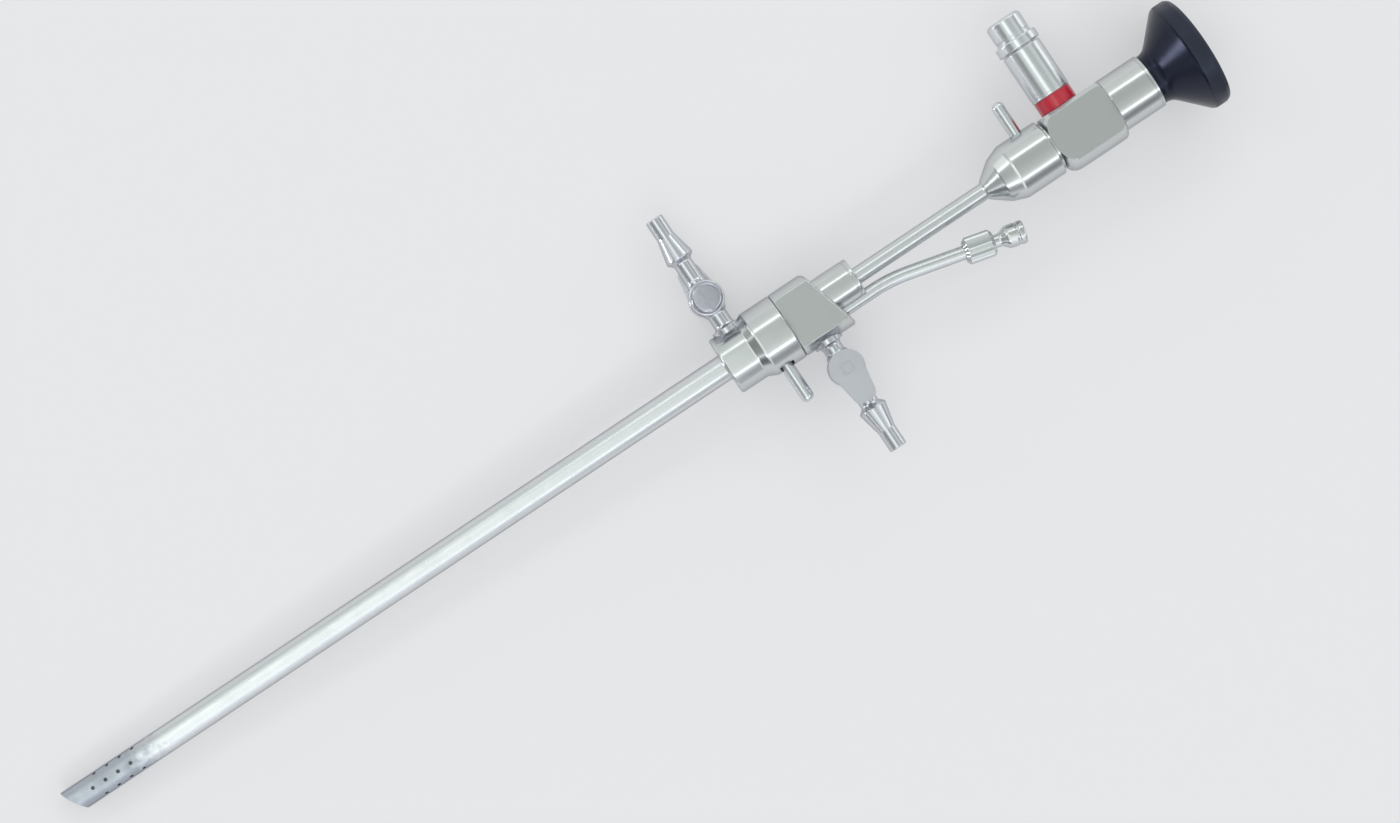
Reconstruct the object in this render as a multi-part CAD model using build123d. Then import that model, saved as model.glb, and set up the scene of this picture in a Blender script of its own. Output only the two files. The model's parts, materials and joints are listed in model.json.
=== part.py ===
from build123d import *
import math
import os

# A rigid endoscope in its inner and outer sheaths, as it lies on a table.
# It is drawn straight: X runs from the tip to the eyepiece, Y points to the light post
# and Z points up to the viewer. The last step lays it down on its three points of contact.
# All sizes are in millimetres and degrees.

# Outer sheath tube, with a slanted open end and side holes near it
sheath_length = 210.5
sheath_diameter = 7.3
sheath_bore = 6.8
tip_slant = 30.0
side_hole_diameter = 1.0
side_hole_pitch = 4.0
side_hole_start = 8.7
side_hole_columns = 4
side_hole_rows = 6

# Outer sheath hub
hub_length = 19.8
hub_diameter = 19.3
hub_nose_diameter = 16.2
hub_waist_diameter = 17.4
hub_nose_length = 8.3
hub_shoulder_length = 2.4
hub_edge = 0.7
tube_socket_depth = 4.0
hub_chamber_diameter = 9.0
hub_chamber_length = 4.8

# Inner sheath tube
inner_sheath_diameter = 6.3
inner_sheath_bore = 5.9
inner_sheath_setback = 0.5
inner_sheath_socket = 6.0

# Block that carries the inner sheath, the inflow tap and the instrument channel
block_length = 13.2
block_slant = 16.0
block_flat_height = 6.35
block_chamfer = 0.8
neck_length = 9.2
neck_diameter = 11.4
neck_spigot_diameter = 6.8
neck_spigot_depth = 3.0
neck_chamfer = 0.5

# Guide tube of the telescope
guide_span = 41.4
guide_diameter = 4.6
guide_wall = 0.2
guide_coupling_depth = 3.0

# Instrument channel: tube, union nut and conical port
channel_diameter = 3.8
channel_bore = 2.4
channel_drop = 4.85
channel_merge = 1.7
channel_socket_depth = 2.4
channel_straight = 15.1
channel_bend = 13.8
channel_bend_radius = 45.0
channel_nut_distance = 21.1
channel_nut_length = 8.4
channel_nut_diameter = 7.5
channel_nut_wall = 0.85
channel_nut_chamfer = 0.9
channel_collar_thickness = 1.1
port_neck_length = 2.2
port_neck_diameter = 3.6
port_flare_length = 2.0
port_head_diameter = 6.4
port_head_length = 4.4
port_bore = 4.0
port_bore_depth = 5.5

# Rear coupling
coupling_front_diameter = 5.6
coupling_cone_diameter = 13.0
coupling_cone_length = 4.8
coupling_diameter = 16.2
coupling_taper_length = 4.1
coupling_barrel_length = 12.0
coupling_edge = 0.5
coupling_gap = 0.6

# Bayonet locks: one holds the block in the hub, the other holds the telescope
lock_turn = 30.0
lobe_thickness = 1.6
lobe_height = 0.7
lobe_arc = 50.0
lobe_play = 0.2
ring_play = 0.2
ring_wall = 1.2
land_length = 1.1
pilot_play = 0.1
pilot_gap = 0.2
hub_spigot_diameter = 12.0
hub_spigot_nose_length = 3.0
hub_ring_width = 5.0
hub_pin_inset = 13.9
hub_pin_reach = 19.9
hub_pin_diameter = 3.6
coupling_spigot_diameter = 10.1
coupling_spigot_nose_length = 4.0
coupling_ring_width = 7.6
coupling_pin_inset = 15.2
coupling_pin_reach = 17.8
coupling_pin_diameter = 3.4
pin_thread_diameter = 2.4
pin_slot_play = 0.35
seal_section = 1.1
seal_inset = 1.2

# Taps: the same tap is used for outflow on the hub and for inflow on the block
outflow_inset = 5.9
inflow_inset = 6.8
tap_reach = 18.0
outflow_seat = 6.3
inflow_seat = 7.6
tap_boss_diameter = 8.2
tap_boss_height = 2.7
tap_neck_diameter = 5.4
tap_barrel_diameter = 9.7
tap_barrel_length = 10.8
tap_barrel_edge = 0.5
tap_bore = 2.8
plug_large_diameter = 6.4
plug_taper = 1.0
plug_play = 0.08
plug_gap = 0.25
plug_head_diameter = 8.6
plug_head_thickness = 1.2
plug_stud_diameter = 2.6
plug_square = 2.8
lever_thickness = 2.2
lever_width = 5.8
lever_root_width = 9.2
lever_reach = 10.2
lever_boss_diameter = 9.9
lever_edge = 0.4
lever_corner = 1.4
spring_thickness = 0.3
spring_height = 0.9
spring_gap = 0.1
cap_diameter = 8.7
cap_height = 2.7
cap_floor = 0.7
cap_chamfer = 0.8
nozzle_diameter = 5.2
barb_start = 11.6
barb_length = 8.2
barb_lead = 1.2
barb_diameter = 8.2
barb_end_diameter = 4.7
nozzle_tip_length = 5.0
nozzle_tip_diameter = 5.0
nozzle_length = 25.4

# Telescope shaft and what is inside it
telescope_diameter = 4.0
telescope_wall = 0.25
telescope_play = 0.1
telescope_setback = 1.0
shaft_depth = 2.2
optic_diameter = 2.7
optic_wall = 0.2
rod_play = 0.05
rod_lens_gap = 4.0
rod_lens_count = 8
spacer_wall = 0.15
prism_length = 5.0
window_thickness = 0.8

# Telescope body, light post and eyepiece
body_length = 19.0
body_diameter = 19.0
body_front_edge = 3.4
body_rear_edge = 1.6
body_flat_height = 6.8
body_top_height = 7.6
body_wall = 2.1
body_cavity_diameter = 10.4
post_inset = 7.5
post_diameter = 11.2
post_neck_diameter = 9.0
post_seat_depth = 1.4
post_seat_diameter = 7.0
ring_thickness = 4.0
ring_diameter = 10.9
post_length = 14.5
post_edge = 0.4
post_bore = 3.8
stud_diameter = 8.0
stud_length = 6.0
adapter_collar_diameter = 12.2
adapter_collar_length = 2.6
adapter_diameter = 10.1
adapter_length = 6.4
adapter_gap = 0.4
adapter_chamfer = 0.7
adapter_groove = 0.5
adapter_groove_offset = 0.8
bundle_diameter = 2.4
bundle_offset = 2.2
bundle_lead = 0.3
light_face_diameter = 5.0
light_face_length = 3.0
ocular_length = 12.3
ocular_diameter = 15.6
ocular_front_bore = 9.4
ocular_front_depth = 3.0
ocular_bore = 10.8
ocular_spigot_diameter = 11.6
ocular_spigot_depth = 2.0
ocular_stub_diameter = 12.6
ocular_stub_length = 3.6
lens_thickness = 2.4
lens_crown = 0.8
lens_inset = 8.0
holder_thickness = 2.0
stop_thickness = 1.0
stop_hole = 2.2
eyecup_neck_diameter = 14.6
eyecup_neck_length = 2.6
eyecup_cone_length = 8.0
eyecup_rim_length = 4.9
eyecup_diameter = 31.8
eyecup_edge = 1.0
eyecup_hole = 9.0
eyecup_floor = 2.2
eyecup_lip = 1.5
eyecup_dish_diameter = 15.0
eyecup_dish_flare = 0.6
window_diameter = 10.4
eyepiece_window_thickness = 1.2

# Places along X that follow from the sizes
hub_x = sheath_length
block_x = hub_x + hub_length
block_rear_x = block_x + block_length
neck_rear_x = block_rear_x + neck_length
coupling_x = neck_rear_x + guide_span
coupling_rear_x = coupling_x + coupling_cone_length + coupling_taper_length + coupling_barrel_length
body_x = coupling_rear_x + coupling_gap
body_rear_x = body_x + body_length
eyecup_x = body_rear_x + ocular_length
rim_x = eyecup_x + eyecup_neck_length + eyecup_cone_length
eyecup_rear_x = rim_x + eyecup_rim_length
hub_pin_x = hub_x + hub_pin_inset
coupling_pin_x = coupling_x + coupling_pin_inset
outflow_x = hub_x + outflow_inset
inflow_x = block_x + inflow_inset
post_x = body_x + post_inset

# Places across the axis of the sheath: the telescope lies against the roof of the inner sheath
telescope_y = (inner_sheath_bore - telescope_diameter) / 2 - telescope_play
shaft_bore = telescope_diameter - 2 * telescope_wall
optic_y = telescope_y - (shaft_bore - optic_diameter) / 2
guide_bore = guide_diameter - 2 * guide_wall
lever_face = tap_barrel_length / 2 + plug_gap + plug_head_thickness + lever_thickness
low_end = Align.MIN
middle = Align.CENTER


def rod_x(start, end, diameter, y=0.0):
    """A round bar along X."""
    bar = Cylinder(diameter / 2, end - start, align=(middle, middle, low_end))
    return Pos(start, y, 0) * Rot(0, 90, 0) * bar


def rod_y(start, end, diameter, x=0.0):
    """A round bar along Y."""
    bar = Cylinder(diameter / 2, end - start, align=(middle, middle, low_end))
    return Pos(x, start, 0) * Rot(-90, 0, 0) * bar


def rod_z(start, end, diameter):
    """A round bar along Z."""
    return Pos(0, 0, start) * Cylinder(diameter / 2, end - start, align=(middle, middle, low_end))


def turned_x(*corners):
    """A turned piece about X, from its corners as (x, diameter)."""
    outline = Polyline(*[(x, d / 2) for x, d in corners], close=True)
    return revolve(make_face(outline), Axis.X)


def turned_y(*corners):
    """A turned piece about Y, from its corners as (y, diameter)."""
    outline = Polyline(*[(d / 2, y) for y, d in corners], close=True)
    return revolve(make_face(outline), Axis.Y)


def softened(face, corner, radius):
    """The same outline with the corner nearest to a point rounded."""
    return fillet(face.vertices().sort_by_distance(corner)[0], radius)


def slanted_plane(setback):
    """The plane of the open ends at the tip, which look forward and away from the light post."""
    slant = math.radians(tip_slant)
    x = sheath_diameter / 2 * math.tan(slant) + setback
    return Plane(origin=(x, 0, 0), z_dir=(math.cos(slant), math.sin(slant), 0))


def behind_tip(piece, setback):
    """What is left of a piece behind the slanted plane."""
    return split(piece, bisect_by=slanted_plane(setback), keep=Keep.TOP)


def seal(x, outer_diameter, y=0.0):
    """A round sealing ring that reaches its bore."""
    path_radius = (outer_diameter - seal_section) / 2
    return Pos(x, y, 0) * Rot(0, 90, 0) * Torus(path_radius, seal_section / 2)


def sector(x_start, x_end, inner_diameter, outer_diameter, start_angle, arc):
    """A part of a ring about X, whose angles start at +Y and turn towards +Z."""
    height = (outer_diameter - inner_diameter) / 2
    section = Rectangle(x_end - x_start, height, align=(low_end, low_end))
    swept = revolve(Pos(x_start, inner_diameter / 2, 0) * section, Axis.X, arc)
    return Rot(start_angle, 0, 0) * swept


def ring_inner(spigot_diameter):
    """Bore of a lock ring."""
    return spigot_diameter + 2 * ring_play


def ring_outer(spigot_diameter):
    """Outside of a lock ring."""
    return ring_inner(spigot_diameter) + 2 * ring_wall


def cavity_diameter(spigot_diameter):
    """Bore that a lock ring turns in."""
    return ring_outer(spigot_diameter) + 2 * ring_play


def lock_ring(pin_x, width, spigot_diameter):
    """Ring with two inner lobes, in the locked place, and a threaded hole for its pin at +Y."""
    start = pin_x - width / 2
    end = pin_x + width / 2
    ring = rod_x(start, end, ring_outer(spigot_diameter))
    ring -= rod_x(start, end, ring_inner(spigot_diameter))
    lobe_tip = spigot_diameter - 2 * lobe_height
    for side in (0, 180):
        angle = side + 90 - lobe_arc / 2
        lobe = sector(pin_x - lobe_thickness / 2, pin_x + lobe_thickness / 2, lobe_tip,
                      ring_inner(spigot_diameter) + ring_wall, angle, lobe_arc)
        ring += lobe
    ring -= rod_y(0, ring_outer(spigot_diameter), pin_thread_diameter, pin_x)
    return ring


def lobe_pass_diameter(spigot_diameter):
    """Largest diameter that the lobes slide over: the nose's, and that of the groove."""
    return spigot_diameter - 2 * (lobe_height + lobe_play)


def lock_spigot(pin_x, rear_x, spigot_diameter, nose_length, ring_width, way):
    """Spigot that the ring's lobes hook: nose, land with two entry slots, groove and pilot.
    Way is the sense in which the ring turns to bring its lobes to the slots."""
    groove_start = pin_x - lobe_thickness / 2 - lobe_play
    groove_end = pin_x + lobe_thickness / 2 + lobe_play
    groove_diameter = lobe_pass_diameter(spigot_diameter)
    land_start = groove_start - land_length
    pilot_start = pin_x + ring_width / 2 + pilot_gap
    pilot_diameter = cavity_diameter(spigot_diameter) - 2 * pilot_play
    spigot = turned_x((land_start - nose_length, 0), (land_start - nose_length, groove_diameter),
                      (land_start, groove_diameter), (land_start, spigot_diameter),
                      (groove_start, spigot_diameter), (groove_start, groove_diameter),
                      (groove_end, groove_diameter), (groove_end, spigot_diameter),
                      (pilot_start, spigot_diameter), (pilot_start, pilot_diameter),
                      (rear_x, pilot_diameter), (rear_x, 0))
    slot_arc = lobe_arc + 2 * math.degrees(lobe_play / (spigot_diameter / 2))
    for side in (0, 180):
        angle = side + 90 + way * lock_turn - slot_arc / 2
        spigot -= sector(land_start, groove_start, groove_diameter, spigot_diameter + 1, angle, slot_arc)
    return spigot


def lock_pin(pin_x, spigot_diameter, pin_diameter, reach):
    """Pin with a domed end, screwed into its ring through the slot."""
    base = ring_outer(spigot_diameter) / 2 + pin_slot_play / 4
    pin = rod_y(ring_inner(spigot_diameter) / 2, base, pin_thread_diameter, pin_x)
    shank = turned_y((base, 0), (base, pin_diameter), (reach, pin_diameter), (reach, 0))
    dome = shank.edges().sort_by(Axis.Y)[-1]
    return pin + Pos(pin_x, 0, 0) * fillet(dome, pin_diameter * 0.4)


def pin_slot(pin_x, pin_diameter, inner_diameter, outer_diameter, start_angle):
    """Slot in a wall that a pin travels in, with round ends."""
    width = pin_diameter + 2 * pin_slot_play
    slot = sector(pin_x - width / 2, pin_x + width / 2, inner_diameter, outer_diameter, 0, lock_turn)
    end = rod_y(inner_diameter / 2, outer_diameter / 2, width, pin_x)
    slot += end
    slot += Rot(lock_turn, 0, 0) * end
    return Rot(start_angle, 0, 0) * slot


def outer_sheath_tube():
    """Thin tube with a slanted end and rows of side holes, staggered from row to row."""
    rear = hub_x + tube_socket_depth
    tube = rod_x(0, rear, sheath_diameter) - rod_x(0, rear, sheath_bore)
    tube = behind_tip(tube, 0)
    holes = []
    for row in range(side_hole_rows):
        turn = 360 * row / side_hole_rows + 90
        stagger = side_hole_pitch / 2 if row % 2 else 0
        for column in range(side_hole_columns):
            x = side_hole_start + stagger + side_hole_pitch * column
            holes.append(Rot(turn, 0, 0) * rod_y(0, sheath_diameter, side_hole_diameter, x))
    return tube - holes


def outer_sheath_hub():
    """Turned hub: tube socket, flow chamber, seat for the spigot, room for the lock ring."""
    shoulder_x = hub_x + hub_nose_length
    outline = make_face(Polyline((hub_x, 0), (hub_x, hub_nose_diameter / 2),
                                 (shoulder_x, hub_waist_diameter / 2),
                                 (shoulder_x + hub_shoulder_length, hub_diameter / 2),
                                 (block_x, hub_diameter / 2), (block_x, 0), close=True))
    outline = softened(outline, (hub_x, hub_nose_diameter / 2, 0), hub_edge)
    hub = revolve(outline, Axis.X)
    chamber_x = hub_x + tube_socket_depth
    cavity_x = hub_pin_x - hub_ring_width / 2 - pilot_gap
    cavity = cavity_diameter(hub_spigot_diameter)
    hub -= rod_x(hub_x, chamber_x, sheath_diameter)
    hub -= rod_x(chamber_x, chamber_x + hub_chamber_length, hub_chamber_diameter)
    hub -= rod_x(chamber_x + hub_chamber_length, cavity_x, nose_bore(hub_spigot_diameter))
    hub -= rod_x(cavity_x, block_x, cavity)
    hub -= rod_y(outflow_seat, hub_diameter, tap_boss_diameter, outflow_x)
    hub -= rod_y(0, hub_diameter, tap_bore, outflow_x)
    hub -= pin_slot(hub_pin_x, hub_pin_diameter, cavity - 1, hub_diameter + 1, 180)
    return hub


def inner_sheath_tube():
    """Thin tube inside the outer one, let into the block's spigot."""
    rear = inner_sheath_rear()
    tube = rod_x(0, rear, inner_sheath_diameter) - rod_x(0, rear, inner_sheath_bore)
    return behind_tip(tube, inner_sheath_setback)


def spigot_front(pin_x, nose_length):
    """Front end of a lock spigot."""
    return pin_x - lobe_thickness / 2 - lobe_play - land_length - nose_length


def inner_sheath_rear():
    """Rear end of the inner sheath tube."""
    return spigot_front(hub_pin_x, hub_spigot_nose_length) + inner_sheath_socket


def nose_bore(spigot_diameter):
    """Bore that a lock spigot's nose seals in."""
    return lobe_pass_diameter(spigot_diameter) + pilot_play


def seal_groove(x, bore):
    """Groove for a sealing ring, to be cut from a spigot's nose."""
    width = seal_section * 1.1
    depth_diameter = bore - 2 * seal_section
    groove = rod_x(x - width / 2, x + width / 2, bore + 1)
    return groove - rod_x(x - width / 2, x + width / 2, depth_diameter)


def block_rear_plane():
    """Slanted rear face of the block, square to the bent part of the channel."""
    slant = math.radians(block_slant)
    return Plane(origin=(block_rear_x, 0, 0), z_dir=(math.cos(slant), math.sin(slant), 0))


def block_rear_at(y):
    """X of the block's rear face at a height Y."""
    return block_rear_x - y * math.tan(math.radians(block_slant))


def bridge_block():
    """Block with two flats and a slanted rear face, and a spigot that locks in the hub."""
    far = block_rear_at(-hub_diameter / 2)
    block = rod_x(block_x, far, hub_diameter)
    block &= Pos(block_x, 0, 0) * Box(far - block_x, hub_diameter, 2 * block_flat_height,
                                      align=(low_end, middle, middle))
    block = split(block, bisect_by=block_rear_plane(), keep=Keep.BOTTOM)
    rear_face = block.faces().sort_by_distance(block_rear_plane().origin)[0]
    block = chamfer(rear_face.edges(), block_chamfer)
    block += lock_spigot(hub_pin_x, block_x, hub_spigot_diameter, hub_spigot_nose_length,
                         hub_ring_width, 1)
    front = spigot_front(hub_pin_x, hub_spigot_nose_length)
    tube_rear = inner_sheath_rear()
    chamber_rear = inflow_x + tap_bore / 2
    block -= rod_x(front, tube_rear, inner_sheath_diameter)
    block -= rod_x(tube_rear, chamber_rear, inner_sheath_bore)
    block -= rod_x(tube_rear, far, guide_bore, telescope_y)
    block -= rod_x(block_rear_at(telescope_y) - neck_spigot_depth, far, neck_spigot_diameter, telescope_y)
    block -= seal_groove(front + seal_inset, nose_bore(hub_spigot_diameter))
    block -= rod_y(-hub_diameter, -inflow_seat, tap_boss_diameter, inflow_x)
    block -= rod_y(-hub_diameter, 0, tap_bore, inflow_x)
    block -= rod_x(channel_start(), far, channel_diameter, -channel_drop)
    block -= channel_passage()
    return block


def channel_start():
    """Front end of the instrument channel's tube, in its socket in the block."""
    return block_rear_at(-channel_drop) - channel_socket_depth


def channel_passage():
    """Slanted bore in the block, from the channel's tube to the inner sheath."""
    low = Vector(channel_start() + channel_bore / 2, -channel_drop, 0)
    high = Vector(block_x + channel_merge, (channel_bore - inner_sheath_bore) / 2, 0)
    along = low - high
    bar = Cylinder(channel_bore / 2, along.length, align=(middle, middle, low_end))
    return Plane(origin=high, z_dir=along) * bar


def guide_neck():
    """Short thick neck on the block's rear face, grooved for the channel's tube."""
    front = block_rear_at(telescope_y) - neck_spigot_depth
    neck = rod_x(front, neck_rear_x, neck_diameter, telescope_y)
    rim = neck.edges().filter_by(GeomType.CIRCLE).sort_by(Axis.X)[-1]
    neck = chamfer(rim, neck_chamfer)
    neck = split(neck, bisect_by=block_rear_plane(), keep=Keep.TOP)
    neck += rod_x(front, neck_rear_x, neck_spigot_diameter, telescope_y)
    neck -= rod_x(front, neck_rear_x, guide_diameter, telescope_y)
    neck -= rod_x(front, neck_rear_x, channel_diameter, -channel_drop)
    return neck


def guide_tube():
    """Long thin tube from the neck to the rear coupling, which the telescope slides through."""
    front = block_rear_at(telescope_y) - neck_spigot_depth
    rear = coupling_x + guide_coupling_depth
    return rod_x(front, rear, guide_diameter, telescope_y) - rod_x(front, rear, guide_bore, telescope_y)


def channel_line():
    """Centre line of the instrument channel: straight, one bend, straight."""
    angle = math.radians(channel_bend)
    bend_x = block_rear_at(-channel_drop) + channel_straight
    tangent = channel_bend_radius * math.tan(angle / 2)
    start = Vector(channel_start(), -channel_drop, 0)
    bend_in = Vector(bend_x - tangent, -channel_drop, 0)
    way = Vector(math.cos(angle), -math.sin(angle), 0)
    corner = Vector(bend_x, -channel_drop, 0)
    first = Line(start, bend_in)
    arc = TangentArc(bend_in, corner + way * tangent, tangent=(1, 0, 0))
    last = Line(corner + way * tangent, corner + way * (channel_nut_distance + channel_nut_wall))
    return first + arc + last


def channel_end_frame():
    """Frame at the front of the union nut, whose X runs along the bent part of the channel."""
    angle = math.radians(channel_bend)
    bend_x = block_rear_at(-channel_drop) + channel_straight
    x = bend_x + channel_nut_distance * math.cos(angle)
    y = -channel_drop - channel_nut_distance * math.sin(angle)
    return Pos(x, y, 0) * Rot(0, 0, -channel_bend)


def channel_tube():
    """Instrument channel with a collar at its end, which the union nut holds."""
    line = channel_line()
    start = Plane(origin=line @ 0, z_dir=line % 0)
    tube = sweep(start * Circle(channel_diameter / 2), line)
    collar_end = channel_nut_wall + channel_collar_thickness
    collar = rod_x(channel_nut_wall, collar_end, channel_nut_inside())
    tube += channel_end_frame() * (collar + rod_x(0, collar_end, channel_diameter))
    tube -= sweep(start * Circle(channel_bore / 2), line)
    return tube - channel_end_frame() * rod_x(0, collar_end, channel_bore)


def channel_nut_inside():
    """Inner diameter of the union nut."""
    return channel_nut_diameter - 2 * channel_nut_wall


def channel_nut():
    """Union nut that draws the port on to the channel's collar."""
    nut = rod_x(0, channel_nut_length, channel_nut_diameter)
    nut = chamfer(nut.edges().filter_by(GeomType.CIRCLE), channel_nut_chamfer)
    nut -= rod_x(channel_nut_wall, channel_nut_length, channel_nut_inside())
    return channel_end_frame() * (nut - rod_x(0, channel_nut_length, channel_diameter))


def channel_port():
    """Conical port: shank in the nut, narrow neck, flare and head with its mouth."""
    shank_x = channel_nut_wall + channel_collar_thickness
    neck_x = channel_nut_length + port_neck_length
    flare_x = neck_x + port_flare_length
    end_x = flare_x + port_head_length
    shank_diameter = channel_nut_inside()
    port = turned_x((shank_x, 0), (shank_x, shank_diameter), (channel_nut_length, shank_diameter),
                    (channel_nut_length, port_neck_diameter), (neck_x, port_neck_diameter),
                    (flare_x, port_head_diameter), (end_x, port_head_diameter), (end_x, 0))
    lip = port.edges().filter_by(GeomType.CIRCLE).sort_by(Axis.X)[-1]
    port = fillet(lip, (port_head_diameter - port_bore) / 4)
    port -= rod_x(shank_x, end_x, channel_bore)
    port -= rod_x(end_x - port_bore_depth, end_x, port_bore)
    return channel_end_frame() * port


def rear_coupling():
    """Turned coupling: cone over the guide tube, seat for the telescope, room for its lock ring."""
    cone_x = coupling_x + coupling_cone_length
    barrel_x = cone_x + coupling_taper_length
    outline = make_face(Polyline((coupling_x, 0), (coupling_x, coupling_front_diameter / 2),
                                 (cone_x, coupling_cone_diameter / 2), (barrel_x, coupling_diameter / 2),
                                 (coupling_rear_x, coupling_diameter / 2), (coupling_rear_x, 0),
                                 close=True))
    outline = softened(outline, (coupling_rear_x, coupling_diameter / 2, 0), coupling_edge)
    coupling = Pos(0, telescope_y, 0) * revolve(outline, Axis.X)
    seat_x = spigot_front(coupling_pin_x, coupling_spigot_nose_length) - pilot_gap
    cavity_x = coupling_pin_x - coupling_ring_width / 2 - pilot_gap
    cavity = cavity_diameter(coupling_spigot_diameter)
    coupling -= rod_x(coupling_x, coupling_x + guide_coupling_depth, guide_diameter, telescope_y)
    coupling -= rod_x(coupling_x, seat_x, guide_bore, telescope_y)
    coupling -= rod_x(seat_x, cavity_x, nose_bore(coupling_spigot_diameter), telescope_y)
    coupling -= rod_x(cavity_x, coupling_rear_x, cavity, telescope_y)
    slot = pin_slot(coupling_pin_x, coupling_pin_diameter, cavity - 1, coupling_diameter + 1, -lock_turn)
    return coupling - Pos(0, telescope_y, 0) * slot


def tap_seat_depth(seat):
    """Height of a tap's foot in the tap's own frame, whose origin is on the plug's axis."""
    return seat - tap_reach


def tap_body(seat):
    """Tap body in its own frame: foot, neck, barrel and hose nozzle along Y, plug bore along Z."""
    foot = tap_seat_depth(seat)
    half = tap_barrel_length / 2
    barrel = rod_z(-half, half, tap_barrel_diameter)
    barrel = chamfer(barrel.edges().filter_by(GeomType.CIRCLE), tap_barrel_edge)
    tip_start = nozzle_length - nozzle_tip_length
    barb_top = barb_start + barb_lead
    nozzle = turned_y((0, 0), (0, nozzle_diameter), (barb_start, nozzle_diameter),
                      (barb_top, barb_diameter), (barb_start + barb_length, barb_end_diameter),
                      (tip_start, nozzle_tip_diameter), (nozzle_length, nozzle_tip_diameter),
                      (nozzle_length, 0))
    body = barrel + nozzle + rod_y(foot, 0, tap_neck_diameter)
    body += rod_y(foot, foot + tap_boss_height, tap_boss_diameter)
    body -= rod_y(foot, nozzle_length, tap_bore)
    small = (plug_large_diameter - plug_taper) / 2
    return body - Cone(small, plug_large_diameter / 2, tap_barrel_length)


def cap_top():
    """Height of the cap's upper face, under the spring."""
    return -tap_barrel_length / 2 - spring_gap - spring_height


def tap_plug():
    """Tapered plug with its cross bore, head and square above, and stud below."""
    half = tap_barrel_length / 2
    small = (plug_large_diameter - plug_taper) / 2 - plug_play
    plug = Cone(small, plug_large_diameter / 2 - plug_play, tap_barrel_length)
    head_top = half + plug_gap + plug_head_thickness
    plug += rod_z(half, half + plug_gap, plug_large_diameter - 2 * plug_play)
    plug += rod_z(half + plug_gap, head_top, plug_head_diameter)
    plug += Pos(0, 0, head_top) * Box(plug_square, plug_square, lever_thickness,
                                      align=(middle, middle, low_end))
    plug += rod_z(cap_top() - cap_height + cap_floor, 0, plug_stud_diameter)
    return plug - rod_y(-plug_large_diameter, plug_large_diameter, tap_bore)


def tap_lever():
    """Flat lever over the plug's head, which points along the nozzle when the tap is open."""
    base = lever_face - lever_thickness
    root, end = lever_root_width / 2, lever_width / 2
    outline = Polyline((-root, 0), (-end, lever_reach), (end, lever_reach), (root, 0), close=True)
    blade = make_face(outline)
    blade = fillet(blade.vertices().sort_by(Axis.Y)[-2:], lever_corner)
    lever = extrude(Pos(0, 0, base) * (Circle(lever_boss_diameter / 2) + blade), lever_thickness)
    lever = fillet(lever.faces().sort_by(Axis.Z)[-1].edges(), lever_edge)
    return lever - Pos(0, 0, base) * Box(plug_square, plug_square, lever_thickness,
                                         align=(middle, middle, low_end))


def tap_spring():
    """Conical spring washer that draws the plug into its bore."""
    top = -tap_barrel_length / 2 - spring_gap
    inner = plug_stud_diameter / 2
    outer = plug_large_diameter / 2
    low = top - spring_height
    outline = Polyline((inner, low), (inner, low + spring_thickness), (outer, top),
                       (outer, top - spring_thickness), close=True)
    section = Plane.XZ * make_face(outline)
    return revolve(section, Axis.Z)


def tap_cap():
    """Cap nut on the plug's stud, closed at the bottom."""
    top = cap_top()
    cap = rod_z(top - cap_height, top, cap_diameter)
    cap = chamfer(cap.edges().filter_by(GeomType.CIRCLE).sort_by(Axis.Z)[0], cap_chamfer)
    return cap - rod_z(top - cap_height + cap_floor, top, plug_stud_diameter)


def tap_pieces(name, seat, place):
    """The five pieces of one tap at their place."""
    shapes = {"body": tap_body(seat), "plug": tap_plug(), "lever": tap_lever(),
              "spring": tap_spring(), "cap": tap_cap()}
    return {f"{name}_tap_{part}": place * shape for part, shape in shapes.items()}


def telescope_shaft():
    """Outer tube of the telescope."""
    rear = body_x + shaft_depth
    shaft = rod_x(0, rear, telescope_diameter, telescope_y) - rod_x(0, rear, shaft_bore, telescope_y)
    return behind_tip(shaft, telescope_setback)


def optic_rear():
    """Rear end of the optic tube, in its holder."""
    return body_rear_x + holder_thickness / 2


def optic_bore():
    """Bore of the optic tube."""
    return optic_diameter - 2 * optic_wall


def optic_tube():
    """Thin inner tube that holds the lenses, against one side of the shaft."""
    rear = optic_rear()
    tube = rod_x(0, rear, optic_diameter, optic_y) - rod_x(0, rear, optic_bore(), optic_y)
    return behind_tip(tube, telescope_setback)


def prism_rear():
    """Rear face of the prism."""
    return slanted_plane(telescope_setback).origin.X + prism_length


def tip_window():
    """Slanted glass at the end of the optic tube."""
    glass = behind_tip(rod_x(0, prism_rear(), optic_bore(), optic_y), telescope_setback)
    return split(glass, bisect_by=slanted_plane(telescope_setback + window_thickness), keep=Keep.BOTTOM)


def view_prism():
    """Prism that turns the view, behind the window."""
    glass = rod_x(0, prism_rear(), optic_bore() - 2 * rod_play, optic_y)
    return behind_tip(glass, telescope_setback + window_thickness)


def rod_lens_pitch():
    """Distance from one rod lens to the next."""
    return (optic_rear() - prism_rear()) / rod_lens_count


def rod_lenses():
    """Glass rods in a row."""
    rods = []
    for index in range(rod_lens_count):
        start = prism_rear() + index * rod_lens_pitch() + rod_lens_gap
        end = prism_rear() + (index + 1) * rod_lens_pitch()
        rods.append(rod_x(start, end, optic_bore() - 2 * rod_play, optic_y))
    return Compound(rods)


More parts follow.
